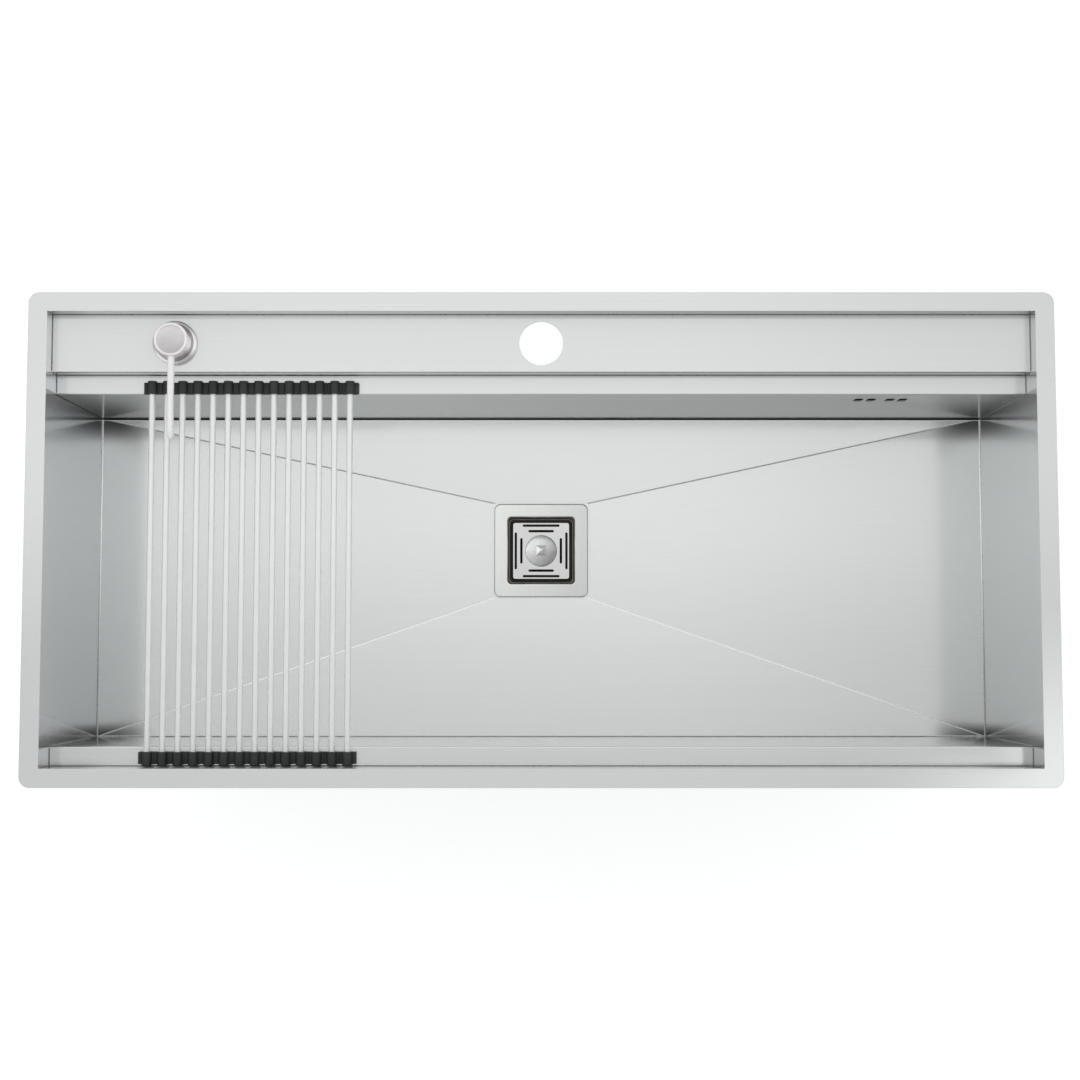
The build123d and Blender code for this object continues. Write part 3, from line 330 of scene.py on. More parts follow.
def moulded(name, dark, light, rough, grain=900.0, height=0.00012):
    """Moulded plastic, rubber or silicone: a fine skin and slow changes of tone."""
    material, tree, shader = node_material(name, light, rough[0])
    tone = object_noise(tree, (35, 35, 35), 2.0)
    skin = object_noise(tree, (grain, grain, grain), 2.0)
    dress(tree, shader, tint(tree, tone, dark, light), spread(tree, skin, *rough))
    relief(tree, shader, skin, 0.15, height)
    return material


def polished(name, dark, light, rough, metal=1.0, tone=None):
    """Chrome-like metal with faint wiping marks, under painted light, shade and reflection of its place."""
    material, tree, shader = node_material(name, light, rough[0], metal)
    marks = object_noise(tree, (60, 60, 60), 4.0, 0.6)
    colour = tint(tree, marks, dark, light)
    # The tone paints light, shade and reflection of the place.
    if tone:
        colour = scaled(tree, colour, tone(tree))
    dress(tree, shader, colour, spread(tree, marks, *rough))
    return material


# Painted shade on the back wall, lighter than on the other sheets.
back_wall_shade = partial(front_facing_shade, left=0.0, right=0.3, corner=0.5)
# Painted shade on the two end walls; the left end's ledge ends are lifted more, as its colour is painted
# darker.
left_end_shade, right_end_shade = partial(end_wall_shade, ledge=1.35), partial(end_wall_shade, ledge=1.0)
# Painted highlight on the creases near the corners.
crease_corner_highlight = partial(near_corners, low=1.0, high=1.6, inner=84, outer=40)
# Painted light and shade on the knob's facets.
knob_side_light = partial(painted_side_light, low=0.5, high=1.08)
rim_dark, rim_light = (0.757, 0.767, 0.762), (0.798, 0.808, 0.803)
floor_dark, floor_light = (0.837, 0.849, 0.843), (0.883, 0.895, 0.889)
# The end walls are painted darker than the rim as shade on upright sheet, the left one darker than the right.
left_shaded_dark, left_shaded_light = (0.553, 0.57, 0.575), (0.591, 0.608, 0.614)
right_shaded_dark, right_shaded_light = (0.625, 0.642, 0.642), (0.664, 0.681, 0.681)
along, upright = (4, 2200, 2200), (2200, 2200, 4)
crease_grain, seam_grain, drain_grain = (600, 600, 600), (400, 400, 400), (300, 300, 300)
brushed, sheet_metal, end_metal = (0.11, 0.16), 0.65, 0.7
# Sheet steel of the bowl, with painted shade on faces turned to the front and by the corners.
sheet_steel = grained_steel("sheet_steel", along, rim_dark, rim_light, brushed, front_facing_shade, sheet_metal, 0.66)
back_steel = grained_steel("back_steel", along, rim_dark, rim_light, brushed, back_wall_shade, sheet_metal, 0.66)
back_shader = back_steel.node_tree.nodes["Principled BSDF"]
preset(back_shader, {"Specular Tint": (0.65, 0.66, 0.66, 1), "Specular IOR Level": 0.2})
# Floor steel with painted shade in its corners.
floor_steel = grained_steel(
    "floor_steel", along, floor_dark, floor_light, brushed, floor_corner_shade, sheet_metal, 0.61
)
left_shaded_steel = grained_steel("left_shaded_steel", upright, left_shaded_dark, left_shaded_light, brushed, left_end_shade, end_metal, 0.9)
right_shaded_steel = grained_steel(
    "right_shaded_steel", upright, right_shaded_dark, right_shaded_light, brushed, right_end_shade, end_metal, 0.8
)
# Painted shade on the back creases and the front floor seam, painted highlight on the front creases.
shaded_crease_steel = grained_steel(
    "shaded_crease_steel", crease_grain, (0.45, 0.46, 0.46), (0.52, 0.53, 0.53), (0.25, 0.35), crease_corner_highlight
)
highlight_crease_steel = grained_steel(
    "highlight_crease_steel", crease_grain, (0.93, 0.94, 0.94), (0.98, 0.98, 0.98), (0.3, 0.4)
)
# Painted shade and highlights along the seams: black at the back of the floor, grey at the ledges and round
# the drain's flange, white along the sides and the back lip.
shade_seam_steel = grained_steel("shade_seam_steel", seam_grain, (0.02, 0.02, 0.02), (0.035, 0.035, 0.035), (0.35, 0.5))
ledge_shade_seam = grained_steel(
    "ledge_shade_seam", seam_grain, (0.2, 0.2, 0.19), (0.27, 0.27, 0.26), (0.25, 0.4)
)
highlight_seam_steel = grained_steel(
    "highlight_seam_steel", seam_grain, (0.9, 0.9, 0.9), (0.96, 0.96, 0.96), (0.25, 0.35), seam_highlight_fade
)
# Drain steel with painted light and shade, lighter on the left.
drain_steel = grained_steel(
    "drain_steel", (1800, 30, 1800), (0.74, 0.74, 0.725), (0.79, 0.79, 0.78), (0.14, 0.2), flange_side_light
)
# Painted dark reflection: the drain's dish is a dark olive.
dish_dark_reflection = grained_steel("dish_dark_reflection", drain_grain, (0.13, 0.122, 0.098), (0.19, 0.18, 0.15), (0.18, 0.26))
plate_steel = grained_steel(
    "plate_steel", (40, 1800, 1800), (0.66, 0.66, 0.65), (0.72, 0.72, 0.71), (0.16, 0.24)
)
# Painted highlights, light and shade on the spun dome and the knob.
dome_steel = spun_steel("dome_steel", (0.84, 0.84, 0.83), (0.94, 0.94, 0.93), (0.24, 0.32))
knob_steel = polished("knob_steel", (0.86, 0.86, 0.85), (0.92, 0.92, 0.91), (0.14, 0.2), 1.0, knob_side_light)
# Painted shade: the strainer basket and the drain's bore are near black, as if in shade under the slots.
basket_shade_steel = grained_steel(
    "basket_shade_steel", drain_grain, (0.03, 0.03, 0.028), (0.06, 0.06, 0.056), (0.45, 0.6)
)
plain_steel = grained_steel("plain_steel", (200, 200, 200), (0.5, 0.51, 0.52), (0.6, 0.61, 0.62), (0.25, 0.4))
rod_steel = polished("rod_steel", (0.9, 0.91, 0.905), (0.94, 0.95, 0.945), (0.3, 0.34), 0.25)
pump_chrome = polished("pump_chrome", (0.9, 0.87, 0.87), (0.95, 0.92, 0.92), (0.16, 0.22), 0.6)
# Painted reflection on the pump ring, painted light on the press face.
ring_chrome = polished("ring_chrome", (0.9, 0.87, 0.87), (0.95, 0.92, 0.92), (0.12, 0.16), 0.6, ring_painted_reflection)
press_face = polished("press_face", (0.6, 0.565, 0.57), (0.66, 0.63, 0.635), (0.2, 0.28), 0.9, press_face_light)
spout_chrome = polished("spout_chrome", (0.94, 0.91, 0.91), (0.97, 0.945, 0.945), (0.24, 0.3), 0.2)
black_silicone = moulded("black_silicone", (0.016, 0.017, 0.017), (0.028, 0.03, 0.03), (0.5, 0.65))
seal_rubber = moulded("seal_rubber", (0.03, 0.03, 0.03), (0.045, 0.045, 0.045), (0.6, 0.75))
damping_rubber = moulded(
    "damping_rubber", (0.13, 0.13, 0.135), (0.17, 0.17, 0.175), (0.75, 0.9), 500.0, 0.0003
)
white_plastic = moulded("white_plastic", (0.78, 0.79, 0.79), (0.84, 0.85, 0.85), (0.35, 0.45))
black_plastic = moulded("black_plastic", (0.04, 0.04, 0.042), (0.055, 0.055, 0.057), (0.4, 0.5))
bottle_plastic = moulded("bottle_plastic", (0.83, 0.84, 0.84), (0.88, 0.89, 0.89), (0.18, 0.25))
preset(bottle_plastic.node_tree.nodes["Principled BSDF"], {"Transmission Weight": 0.45})

slot_finish = {
    "sink_steel": sheet_steel, "drain_steel": drain_steel, "rod_steel": rod_steel, "pump_chrome": pump_chrome,
    "spring_steel": plain_steel, "silicone": black_silicone, "seal_rubber": seal_rubber,
    "damping_pad": damping_rubber, "white_plastic": white_plastic, "black_plastic": black_plastic,
    "bottle_plastic": bottle_plastic,
}
for part in frame["record"]["subparts"]:
    node = frame["nodes"][part["node"]]
    node.data.materials.clear()
    node.data.materials.append(slot_finish[part["material_slot"]])
node_finish = {
    "back_wall": back_steel, "left_end": left_shaded_steel, "right_end": right_shaded_steel,
    "strainer_basket": basket_shade_steel,
}
for name, finish in node_finish.items():
    frame["nodes"][name].data.materials[0] = finish


# Shapes

def mesh_object(name, bm):
    """New object in the scene from a bmesh in metres."""
    mesh = bpy.data.meshes.new(name)
    bm.to_mesh(mesh)
    bm.free()
    made = bpy.data.objects.new(name, mesh)
    scene.collection.objects.link(made)
    return made


def face_out(bm):
    """Turns the faces of each shape the same way, outwards where it is closed."""
    bmesh.ops.recalc_face_normals(bm, faces=bm.faces)


def face_up(bm):
    """Turns the faces of an open sheet upwards."""
    face_out(bm)
    if sum(f.normal.z for f in bm.faces) < 0:
        bmesh.ops.reverse_faces(bm, faces=bm.faces)


def piece(name, bm, body, slot, finish, *nodes, smooth=35):
    """Finished piece from a bmesh in metres; it rides on a body and stands for the named nodes."""
    bmesh.ops.remove_doubles(bm, verts=bm.verts, dist=1e-6)
    face_out(bm)
    made = mesh_object(name, bm)
    made.data.shade_smooth()
    made.data.set_sharp_from_angle(angle=math.radians(smooth))
    for layer in finish if isinstance(finish, list) else [finish]:
        made.data.materials.append(layer)
    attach(made, body)
    if nodes:
        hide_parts(*nodes)
    return made


def point(x, y, z):
    return Vector((x * mm, y * mm, z * mm))


def new_verts(made):
    """Vertices of an operator's result."""
    return [g for g in made["geom"] if isinstance(g, bmesh.types.BMVert)]


def new_edges(made):
    """Edges of an operator's result that lie between its vertices."""
    verts = new_verts(made)
    return [g for g in made["geom"] if isinstance(g, bmesh.types.BMEdge) and all(v in verts for v in g.verts)]


def edges_of(verts):
    """Edges that touch any of the vertices, each once."""
    return list(dict.fromkeys(e for v in verts for e in v.link_edges))


def edges_between(verts):
    """Edges with both ends among the vertices."""
    return [e for e in edges_of(verts) if all(v in verts for v in e.verts)]


def move(bm, verts, x, y, z):
    """Moves vertices by millimetres."""
    bmesh.ops.translate(bm, vec=point(x, y, z), verts=verts)


def rotate(bm, verts, angle, axis):
    """Turns vertices about an axis through the origin."""
    bmesh.ops.rotate(bm, cent=(0, 0, 0), matrix=Matrix.Rotation(angle, 3, axis), verts=verts)


def pushed(bm, faces, x=0, y=0, z=0):
    """Extrudes faces by millimetres; returns the new vertices."""
    made = new_verts(bmesh.ops.extrude_face_region(bm, geom=faces))
    move(bm, made, x, y, z)
    return made


def filled(bm, edges):
    """Fills the level area between outlines; returns its faces."""
    made = bmesh.ops.triangle_fill(bm, edges=edges, use_beauty=True)["geom"]
    return [g for g in made if isinstance(g, bmesh.types.BMFace)]


def circle(bm, radius, segments, capped=False):
    """Level circle on the origin; returns its vertices."""
    made = bmesh.ops.create_circle(bm, cap_ends=capped, segments=segments, radius=radius * mm)
    return made["verts"]


def turned(bm, x, y, outline, steps=64, closed=False):
    """Turns an outline of (radius, height) points about the upright line through (x, y)."""
    verts = [bm.verts.new(point(x + r, y, z)) for r, z in outline]
    edges = [bm.edges.new(pair) for pair in zip(verts, verts[1:] + verts[:1] if closed else verts[1:])]
    bmesh.ops.spin(
        bm, geom=verts + edges, cent=point(x, y, 0), axis=(0, 0, 1), angle=2 * math.pi, steps=steps,
        use_merge=True
    )
    bmesh.ops.remove_doubles(bm, verts=bm.verts, dist=1e-6)


def thread(radius, low, high, pitch=1.8, depth=0.6):
    """Outline points of a screw thread's ridges, from low up to high."""
    turns = int(abs(high - low) / pitch)
    step = (high - low) / turns
    ridge = [(radius - depth, 0.0), (radius, 0.35), (radius, 0.55), (radius - depth, 0.9)]
    return [(r, low + (number + part) * step) for number in range(turns) for r, part in ridge]


def soften(bm, width, segments=2, angle=30, edges=None):
    """Rounds the sharp edges."""
    sharp = [
        e for e in (edges or bm.edges)
        if len(e.link_faces) == 2 and e.calc_face_angle(0) > math.radians(angle)
    ]
    bmesh.ops.bevel(
        bm, geom=sharp, offset=width * mm, offset_type="OFFSET", segments=segments, profile=0.5,
        affect="EDGES", material=-1, clamp_overlap=True
    )


def block(bm, low, high):
    """Box between two corners; returns its vertices."""
    size = [b - a for a, b in zip(low, high)]
    middle = [(a + b) / 2 for a, b in zip(low, high)]
    made = bmesh.ops.create_cube(bm, size=1.0)["verts"]
    bmesh.ops.scale(bm, vec=[s * mm for s in size], verts=made)
    move(bm, made, *middle)
    return made


def bar(bm, start, end, radius, segments=32):
    """Round bar between two points; returns its vertices."""
    start, end = point(*start), point(*end)
    way = end - start
    made = bmesh.ops.create_cone(
        bm, cap_ends=True, segments=segments, radius1=radius * mm, radius2=radius * mm, depth=way.length
    )["verts"]
    turn = way.to_track_quat("Z", "Y").to_matrix().to_4x4()
    bmesh.ops.transform(bm, matrix=Matrix.Translation((start + end) / 2) @ turn, verts=made)
    return made


def rectangle(bm, x, y, length, width, z):
    """Level rectangle; returns its vertices."""
    corners = bmesh.ops.create_grid(bm, x_segments=1, y_segments=1, size=0.5)["verts"]
    bmesh.ops.scale(bm, vec=(length * mm, width * mm, 1), verts=corners)
    move(bm, corners, x, y, z)
    return corners


def rounded_outline(bm, x, y, length, width, radius, z, segments=7):
    """Level outline of a rectangle with rounded corners; returns its edges."""
    corners = rectangle(bm, x, y, length, width, z)
    rounded = bmesh.ops.bevel(
        bm, geom=corners, offset=radius * mm, offset_type="OFFSET", segments=segments, profile=0.5,
        affect="VERTICES", material=-1
    )["verts"]
    face = rounded[0].link_faces[0]
    edges = face.edges[:]
    bmesh.ops.delete(bm, geom=[face], context="FACES_ONLY")
    return edges


# Pressed floor with four creases that run from its corners to the drain

def pressed_floor():
    bm = bmesh.new()
    pad, hole = 52.0, 38.7
    crease_width, crease_depth = 0.75, 0.3
    middle_y = (back_wall_y + front_wall_y) / 2
    rectangle(bm, 0, middle_y, 2 * half_length, back_wall_y - front_wall_y, floor_edge_z)
    whole = bm.faces[:]
    inner = pushed(bm, whole)
    bmesh.ops.delete(bm, geom=whole, context="FACES_ONLY")
    for v in inner:
        v.co = point(math.copysign(pad, v.co.x), math.copysign(pad, v.co.y - middle_y * mm), drain_pad_z)
    bm.faces.ensure_lookup_table()
    centre = [f for f in bm.faces if all(v in inner for v in f.verts)]
    creases = [e for e in bm.edges if len([v for v in e.verts if v in inner]) == 1]
    lines = [(e.verts[0].co.copy(), e.verts[1].co.copy()) for e in creases]
    bmesh.ops.inset_region(bm, faces=centre, thickness=(pad - hole) * mm, use_even_offset=True)
    bmesh.ops.delete(bm, geom=centre, context="FACES")
    bmesh.ops.bevel(
        bm, geom=creases, offset=crease_width * mm, offset_type="OFFSET", segments=2, profile=0.5,
        affect="EDGES", material=-1
    )
    for v in bm.verts:
        for start, end in lines:
            way = (end - start).normalized()
            off_line = (v.co - start) - way * (v.co - start).dot(way)
            if off_line.length < 0.2 * mm and v.co.z > (drain_pad_z + 0.01) * mm:
                v.co.z -= crease_depth * mm
    finishes = [floor_steel, shaded_crease_steel, highlight_crease_steel]
    longest_crease = 0.5
    # Back creases take painted shade, front creases a painted highlight.
    for f in bm.faces:
        middle = f.calc_center_median()
        narrow = f.calc_area() < 2.2 * crease_width * mm * longest_crease
        if narrow and max(abs(middle.x), abs(middle.y)) > pad * mm:
            finish = shaded_crease_steel if middle.y > 0 else highlight_crease_steel
            f.material_index = finishes.index(finish)
    face_up(bm)
    bmesh.ops.solidify(bm, geom=bm.faces[:], thickness=sheet * mm)
    piece("pressed_floor", bm, "sink", "sink_steel", finishes, "floor_pan", smooth=0.3)


pressed_floor()


# Seams where the sheets meet: a hollow bead of weld along each inside corner, coloured with painted shade and
# painted highlights

def seam(bm, start, end, out_a, out_b, radius):
    """Bead along an inside corner from start to end; out_a and out_b point along the two sheets."""
    corner, steps = point(*start), 4
    out_a, out_b = Vector(out_a) * radius * mm, Vector(out_b) * radius * mm
    outline = [bm.verts.new(corner)]
    for number in range(steps + 1):
        turn = number * math.pi / 2 / steps
        reach = out_a * (1 - math.sin(turn)) + out_b * (1 - math.cos(turn))
        outline.append(bm.verts.new(corner + reach))
    pushed(bm, [bm.faces.new(outline)], *(Vector(end) - Vector(start)))


def seams():
    dark, lip, front, ledge, bright = [bmesh.new() for _ in range(5)]
    up, forward, backward = (0, 0, 1), (0, -1, 0), (0, 1, 0)
    bead, back_bead, fold = 0.8, 1.5, 1.6

    def lengthwise(bm, y, z, way, radius):
        seam(bm, (-half_length, y, z), (half_length, y, z), way, up, radius)

    lengthwise(dark, back_wall_y, floor_edge_z, forward, back_bead)
    lengthwise(lip, back_wall_y - back_bead, floor_edge_z, forward, 0.7)
    lengthwise(front, front_wall_y, floor_edge_z, backward, 1.0)
    for side in (-1, 1):
        x, inward = side * half_length, (-side, 0, 0)
        seam(bright, (x, front_wall_y, floor_edge_z), (x, back_wall_y, floor_edge_z), inward, up, 1.2)
        for y, way in ((front_wall_y, backward), (back_wall_y, forward)):
            # The left back corner's upright seam takes the black painted shade, the others the grey painted
            # shade.
            upright_seam = dark if side < 0 and way == forward else ledge
            seam(upright_seam, (x, y, floor_edge_z), (x, y, accessory_z), inward, way, bead)
        for y, way, low, high in (
            (back_y, forward, tap_ledge_z, drop_top_z), (front_y, backward, accessory_z, drop_top_z),
            (tap_front_y, forward, accessory_z, tap_ledge_z - fold),
        ):
            seam(ledge, (x, y, low), (x, y, high), inward, way, bead)
        for near, far, z in (
            (tap_front_y + fold, back_y, tap_ledge_z), (back_wall_y + fold, tap_front_y, accessory_z),
            (front_y, front_wall_y - fold, accessory_z),
        ):
            seam(ledge, (x, near, z), (x, far, z), inward, up, bead)
    lengthwise(ledge, back_y, tap_ledge_z, forward, bead)
    lengthwise(ledge, tap_front_y, accessory_z, forward, bead)
    lengthwise(ledge, front_y, accessory_z, backward, bead)
    # Black painted shade along the back of the floor, a painted highlight lip before it and along the sides,
    # grey painted shade in front and at the ledges.
    for name, bm, finish in (
        ("back_floor_seam", dark, shade_seam_steel), ("back_floor_lip", lip, highlight_seam_steel),
        ("front_floor_seam", front, shaded_crease_steel), ("ledge_seams", ledge, ledge_shade_seam),
        ("side_seams", bright, highlight_seam_steel),
    ):
        piece(name, bm, "sink", "sink_steel", finish, smooth=50)


seams()


# Square drain: bevelled flange, deep dish and threaded neck

def carried(bm, loop, walk):
    """Carries a loop of edges on the drain's axis along a walk of (size, height); returns the last loop."""
    for (size, z), (next_size, next_z) in zip(walk, walk[1:]):
        growth = next_size / size
        made = bmesh.ops.extrude_edge_only(bm, edges=loop)
        bmesh.ops.scale(bm, vec=(growth, growth, 1), verts=new_verts(made))
        move(bm, new_verts(made), 0, 0, next_z - z)
        loop = new_edges(made)
    return loop


def drain_ring(bm, radius, z, segments=48):
    """Round outline on the drain's axis; returns its edges."""
    verts = circle(bm, radius, segments)
    move(bm, verts, 0, 0, z)
    return edges_of(verts)


def drain_flange():
    bm = bmesh.new()
    side, under_side, mouth_radius = 102.0, 75.4, 26.6
    top, under = flange_high.z, flange_high.z - 2.0
    dish, dish_under, neck = top - 14.0, top - 15.2, flange_low.z
    outer = rounded_outline(bm, 0, 0, side, side, 6.6, under)
    profile = [
        (side, 0), (side, 0.9), (101.6, 1.4), (100.8, 1.8), (99.6, 2.0), (98.8, 2.0), (76.8, 2.0),
        (75.8, 2.0), (74.2, 1.75), (73.2, 1.1), (73.0, 0.2), (73.0, -4.0), (71.8, -4.4), (71.8, -10.8),
        (70.6, -11.7), (69.0, -12.0),
    ]
    dish_edge = carried(bm, outer, profile)
    mouth = drain_ring(bm, mouth_radius, dish)
    filled(bm, dish_edge + mouth)
    bore = [(mouth_radius, dish), (26.0, dish - 0.6), (26.0, neck), (27.6, neck)]
    neck_top = carried(bm, mouth, bore + thread(28.0, neck + 0.5, dish - 8.0) + [(27.5, dish_under)])
    under_edge = rounded_outline(bm, 0, 0, under_side, under_side, 6.2, dish_under)
    filled(bm, neck_top + under_edge)
    shoulder = carried(bm, under_edge, [(under_side, dish_under), (under_side, under)])
    filled(bm, shoulder + outer)
    # Painted dark reflection on the dish and a painted shade line round the flange's outer edge; painted
    # shade in the bore below the dish.
    finishes = [drain_steel, dish_dark_reflection, ledge_shade_seam, basket_shade_steel]
    for f in bm.faces:
        middle = f.calc_center_median()
        reach = max(abs(middle.x), abs(middle.y))
        finish = drain_steel
        if reach < 36.7 * mm and middle.z < (top - 0.5) * mm:
            finish = dish_dark_reflection if middle.z > (dish + 0.1) * mm else basket_shade_steel
        elif reach > 50.2 * mm and middle.z > (under + 0.1) * mm:
            finish = ledge_shade_seam
        f.material_index = finishes.index(finish)
    piece("square_drain", bm, "sink", "drain_steel", finishes, "drain_flange", smooth=30)


drain_flange()


# Strainer: slotted plate, spun dome, and a pyramid knob on a threaded stem

def strainer_plate():
    bm = bmesh.new()
    rounded_outline(bm, 0, 0, 61.4, 61.4, 2.5, plate_top)
    for quarter in range(4):
        for length, offset in ((40.5, 27.8), (28.0, 21.7)):
            slot = rounded_outline(bm, 0, offset, length, 2.6, 1.29, plate_top, 5)
            rotate(bm, list({v for e in slot for v in e.verts}), quarter * math.pi / 2, "Z")
    drain_ring(bm, 17.0, plate_top, 64)
    filled(bm, bm.edges[:])
    face_up(bm)
    pushed(bm, bm.faces[:], z=-sheet)
    face_out(bm)
    upper = [e for e in bm.edges if all(v.co.z > (plate_top - 0.01) * mm for v in e.verts)]
    soften(bm, 0.3, 3, 60, upper)
    piece("slotted_plate", bm, "strainer", "drain_steel", plate_steel, "strainer_plate", smooth=10)


def strainer_dome():
    bm = bmesh.new()
    rise, edge, bore = 3.2, 17.0, 2.6
    radius = (edge**2 + rise**2) / (2 * rise)
    centre_z = plate_top + 4.0 - radius
    outline = [(17.4, plate_top), (17.3, plate_top + 0.45)]
    outline += [(r, centre_z + math.sqrt(radius**2 - r**2)) for r in (edge, 15.0, 13.0, 10.5, 7.5, 5.0, bore)]
    outline += [(r, centre_z + math.sqrt((radius - sheet)**2 - r**2)) for r in (bore, 6.0, 10.0, 13.0, 15.4)]
    outline += [(16.6, plate_top - sheet), (17.4, plate_top - sheet)]
    turned(bm, 0, 0, outline, 96, True)
    piece("spun_dome", bm, "strainer", "drain_steel", dome_steel, smooth=45)


def strainer_knob():
    bm = bmesh.new()
    foot_z, neck_z = knob_high.z - 7.0, knob_high.z - 2.7
    corner = mm / math.sqrt(2)
    for low, high, foot, top in ((foot_z - 0.3, neck_z, 10.0, 11.0), (neck_z, knob_high.z, 11.0, 1.6)):
        made = bmesh.ops.create_cone(
            bm, cap_ends=True, segments=4, radius1=foot * corner, radius2=top * corner,
            depth=(high - low) * mm
        )["verts"]
        rotate(bm, made, math.pi / 4, "Z")
        move(bm, made, 0, 0, (low + high) / 2)
    soften(bm, 0.3, 3)
    stem = [(0, knob_low.z), (1.9, knob_low.z)] + thread(2.5, knob_low.z + 0.4, knob_low.z + 14.0, 0.8, 0.3)
    turned(bm, 0, 0, stem + [(2.5, knob_low.z + 14.2), (2.5, foot_z + 0.5), (0, foot_z + 0.5)], 32)
    piece("pyramid_knob", bm, "strainer", "drain_steel", knob_steel, "strainer_knob", smooth=35)


strainer_plate()
strainer_dome()
strainer_knob()


# Soap dispenser

def quarter_round(radius, centre_r, centre_z, steps=5):
    """Outline points of a rounded top edge, from its side to its top."""
    angles = [number * math.pi / 2 / steps for number in range(steps + 1)]
    return [(centre_r + radius * math.cos(a), centre_z + radius * math.sin(a)) for a in angles]


def soap_base():
    bm = bmesh.new()
    foot, collar_top, shank = base_high.z - 6.0, base_high.z, base_low.z
    outline = [(8.85, shank), (11.9, shank)] + thread(12.5, shank + 0.5, foot - 1.5)
    outline += [(12.0, foot), (21.3, foot), (21.75, foot + 0.5)] + quarter_round(2.6, 19.15, foot + 2.4)
    outline += [(18.4, foot + 4.85), (15.6, foot + 3.5), (14.6, foot + 3.3), (14.0, foot + 3.7)]
    outline += [(14.0, collar_top - 0.4), (13.6, collar_top)]
    outline += [(10.85, collar_top), (10.85, collar_top - 2.5), (8.85, collar_top - 2.5)]
    turned(bm, soap_x, soap_y, outline, 96, True)
    piece("soap_ring", bm, "sink", "pump_chrome", ring_chrome, "soap_base", smooth=30)


def soap_head():
    bm = bmesh.new()
    foot, top = head_low.z, head_high.z
    outline = [(4.1, foot), (15.9, foot), (16.5, foot + 0.6), (16.5, top - 2.0)]
    outline += quarter_round(1.9, 14.6, top - 1.9)
    outline += [(14.0, top - 0.25), (13.4, top - 0.6), (9.0, top - 0.75), (0, top - 0.8)]
    turned(bm, soap_x, soap_y, outline, 96)
    turned(bm, soap_x, soap_y, [(4.1, foot), (4.1, foot + 6.0), (0, foot + 6.0)], 96)
    finishes = [pump_chrome, press_face]
    axis = point(soap_x, soap_y, 0).xy
    for f in bm.faces:
        middle = f.calc_center_median()
        pressed = (middle.xy - axis).length < 13.7 * mm and middle.z > (top - 1.0) * mm
        f.material_index = finishes.index(press_face if pressed else pump_chrome)
    piece("press_head", bm, "pump_head", "pump_chrome", finishes, "soap_head", smooth=30)


def soap_spout():
    bm = bmesh.new()
    radius, bend_radius, bend = 3.35, 8.0, math.radians(50)
    axis_z = spout_high.z - radius
    start_y, tip_y = spout_high.y, soap_y - 94.0
    bend_y = tip_y + bend_radius * math.sin(bend)
    ring = circle(bm, radius, 40)
    rotate(bm, ring, math.pi / 2, "X")
    move(bm, ring, soap_x, start_y, axis_z)
    run = bmesh.ops.extrude_edge_only(bm, edges=bm.edges[:])
    move(bm, new_verts(run), 0, bend_y - start_y, 0)
    bmesh.ops.spin(
        bm, geom=new_verts(run) + new_edges(run), cent=point(soap_x, bend_y, axis_z - bend_radius),
        axis=(1, 0, 0), angle=bend, steps=14
    )
    face_out(bm)
    faced_out = 0.0
    for f in bm.faces:
        middle = f.calc_center_median()
        faced_out += (middle - point(soap_x, middle.y / mm, axis_z)).dot(f.normal)
    if faced_out < 0:
        bmesh.ops.reverse_faces(bm, faces=bm.faces)
    bmesh.ops.solidify(bm, geom=bm.faces[:], thickness=0.8 * mm)
    soften(bm, 0.2, 2, 60)
    spout = piece("bent_spout", bm, "pump_head", "pump_chrome", spout_chrome, "soap_spout", smooth=40)
    spout.visible_glossy = False


def soap_bottle():
    bm = bmesh.new()
    low, high = span("soap_bottle")
    wall, foot, neck_top, shank = 1.6, low.z, high.z, base_low.z
    outline = [(12.6, neck_top), (14.6, neck_top), (15.0, neck_top - 0.4), (15.0, shank + 2.5)]
    outline += [(15.6, shank + 0.5), (17.0, shank - 0.9), (23.5, shank - 9.2), (25.6, shank - 12.0)]
    outline += [(26.7, shank - 14.5), (27.0, shank - 17.0), (27.0, foot + 5.0), (26.6, foot + 2.6)]
    outline += [(25.4, foot + 0.9), (23.0, foot), (18.0, foot), (16.0, foot + 1.2), (0, foot + 1.4)]
    turned(bm, soap_x, soap_y, outline, 72)
    face_out(bm)
    hollow = [(12.6, neck_top), (12.6, shank - 1.0), (15.4, shank - 2.6), (22.2, shank - 10.8)]
    hollow += [(24.4, shank - 13.6), (25.4, shank - 17.0), (25.4, foot + 5.2), (24.6, foot + 3.0)]
    hollow += [(22.8, foot + wall), (16.5, foot + 2.6), (0, foot + 2.8)]
    turned(bm, soap_x, soap_y, hollow, 72)
    piece("soap_bottle_shell", bm, "sink", "bottle_plastic", bottle_plastic, "soap_bottle", smooth=50)


def soap_spring():
    bm = bmesh.new()
    low, high = span("soap_spring")
    wire, turns, steps = 0.5, 9, 22
    ring = circle(bm, wire, 10, True)
    rotate(bm, ring, math.pi / 2, "X")
    move(bm, ring, soap_x + 4.5, soap_y, low.z + wire)
    rise = (high.z - low.z - 2 * wire) / (turns * steps)
    bmesh.ops.spin(
        bm, geom=ring + bm.edges[:], cent=point(soap_x, soap_y, 0), axis=(0, 0, 1), dvec=(0, 0, rise * mm),
        angle=2 * math.pi * turns, steps=turns * steps
    )
    bmesh.ops.holes_fill(bm, edges=[e for e in bm.edges if e.is_boundary], sides=0)
    coil = piece("coil_spring", bm, "sink", "spring_steel", plain_steel, "soap_spring", smooth=50)
    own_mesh(coil)


soap_base()
soap_head()
soap_spout()
soap_bottle()
soap_spring()


# Rack rods and silicone strips

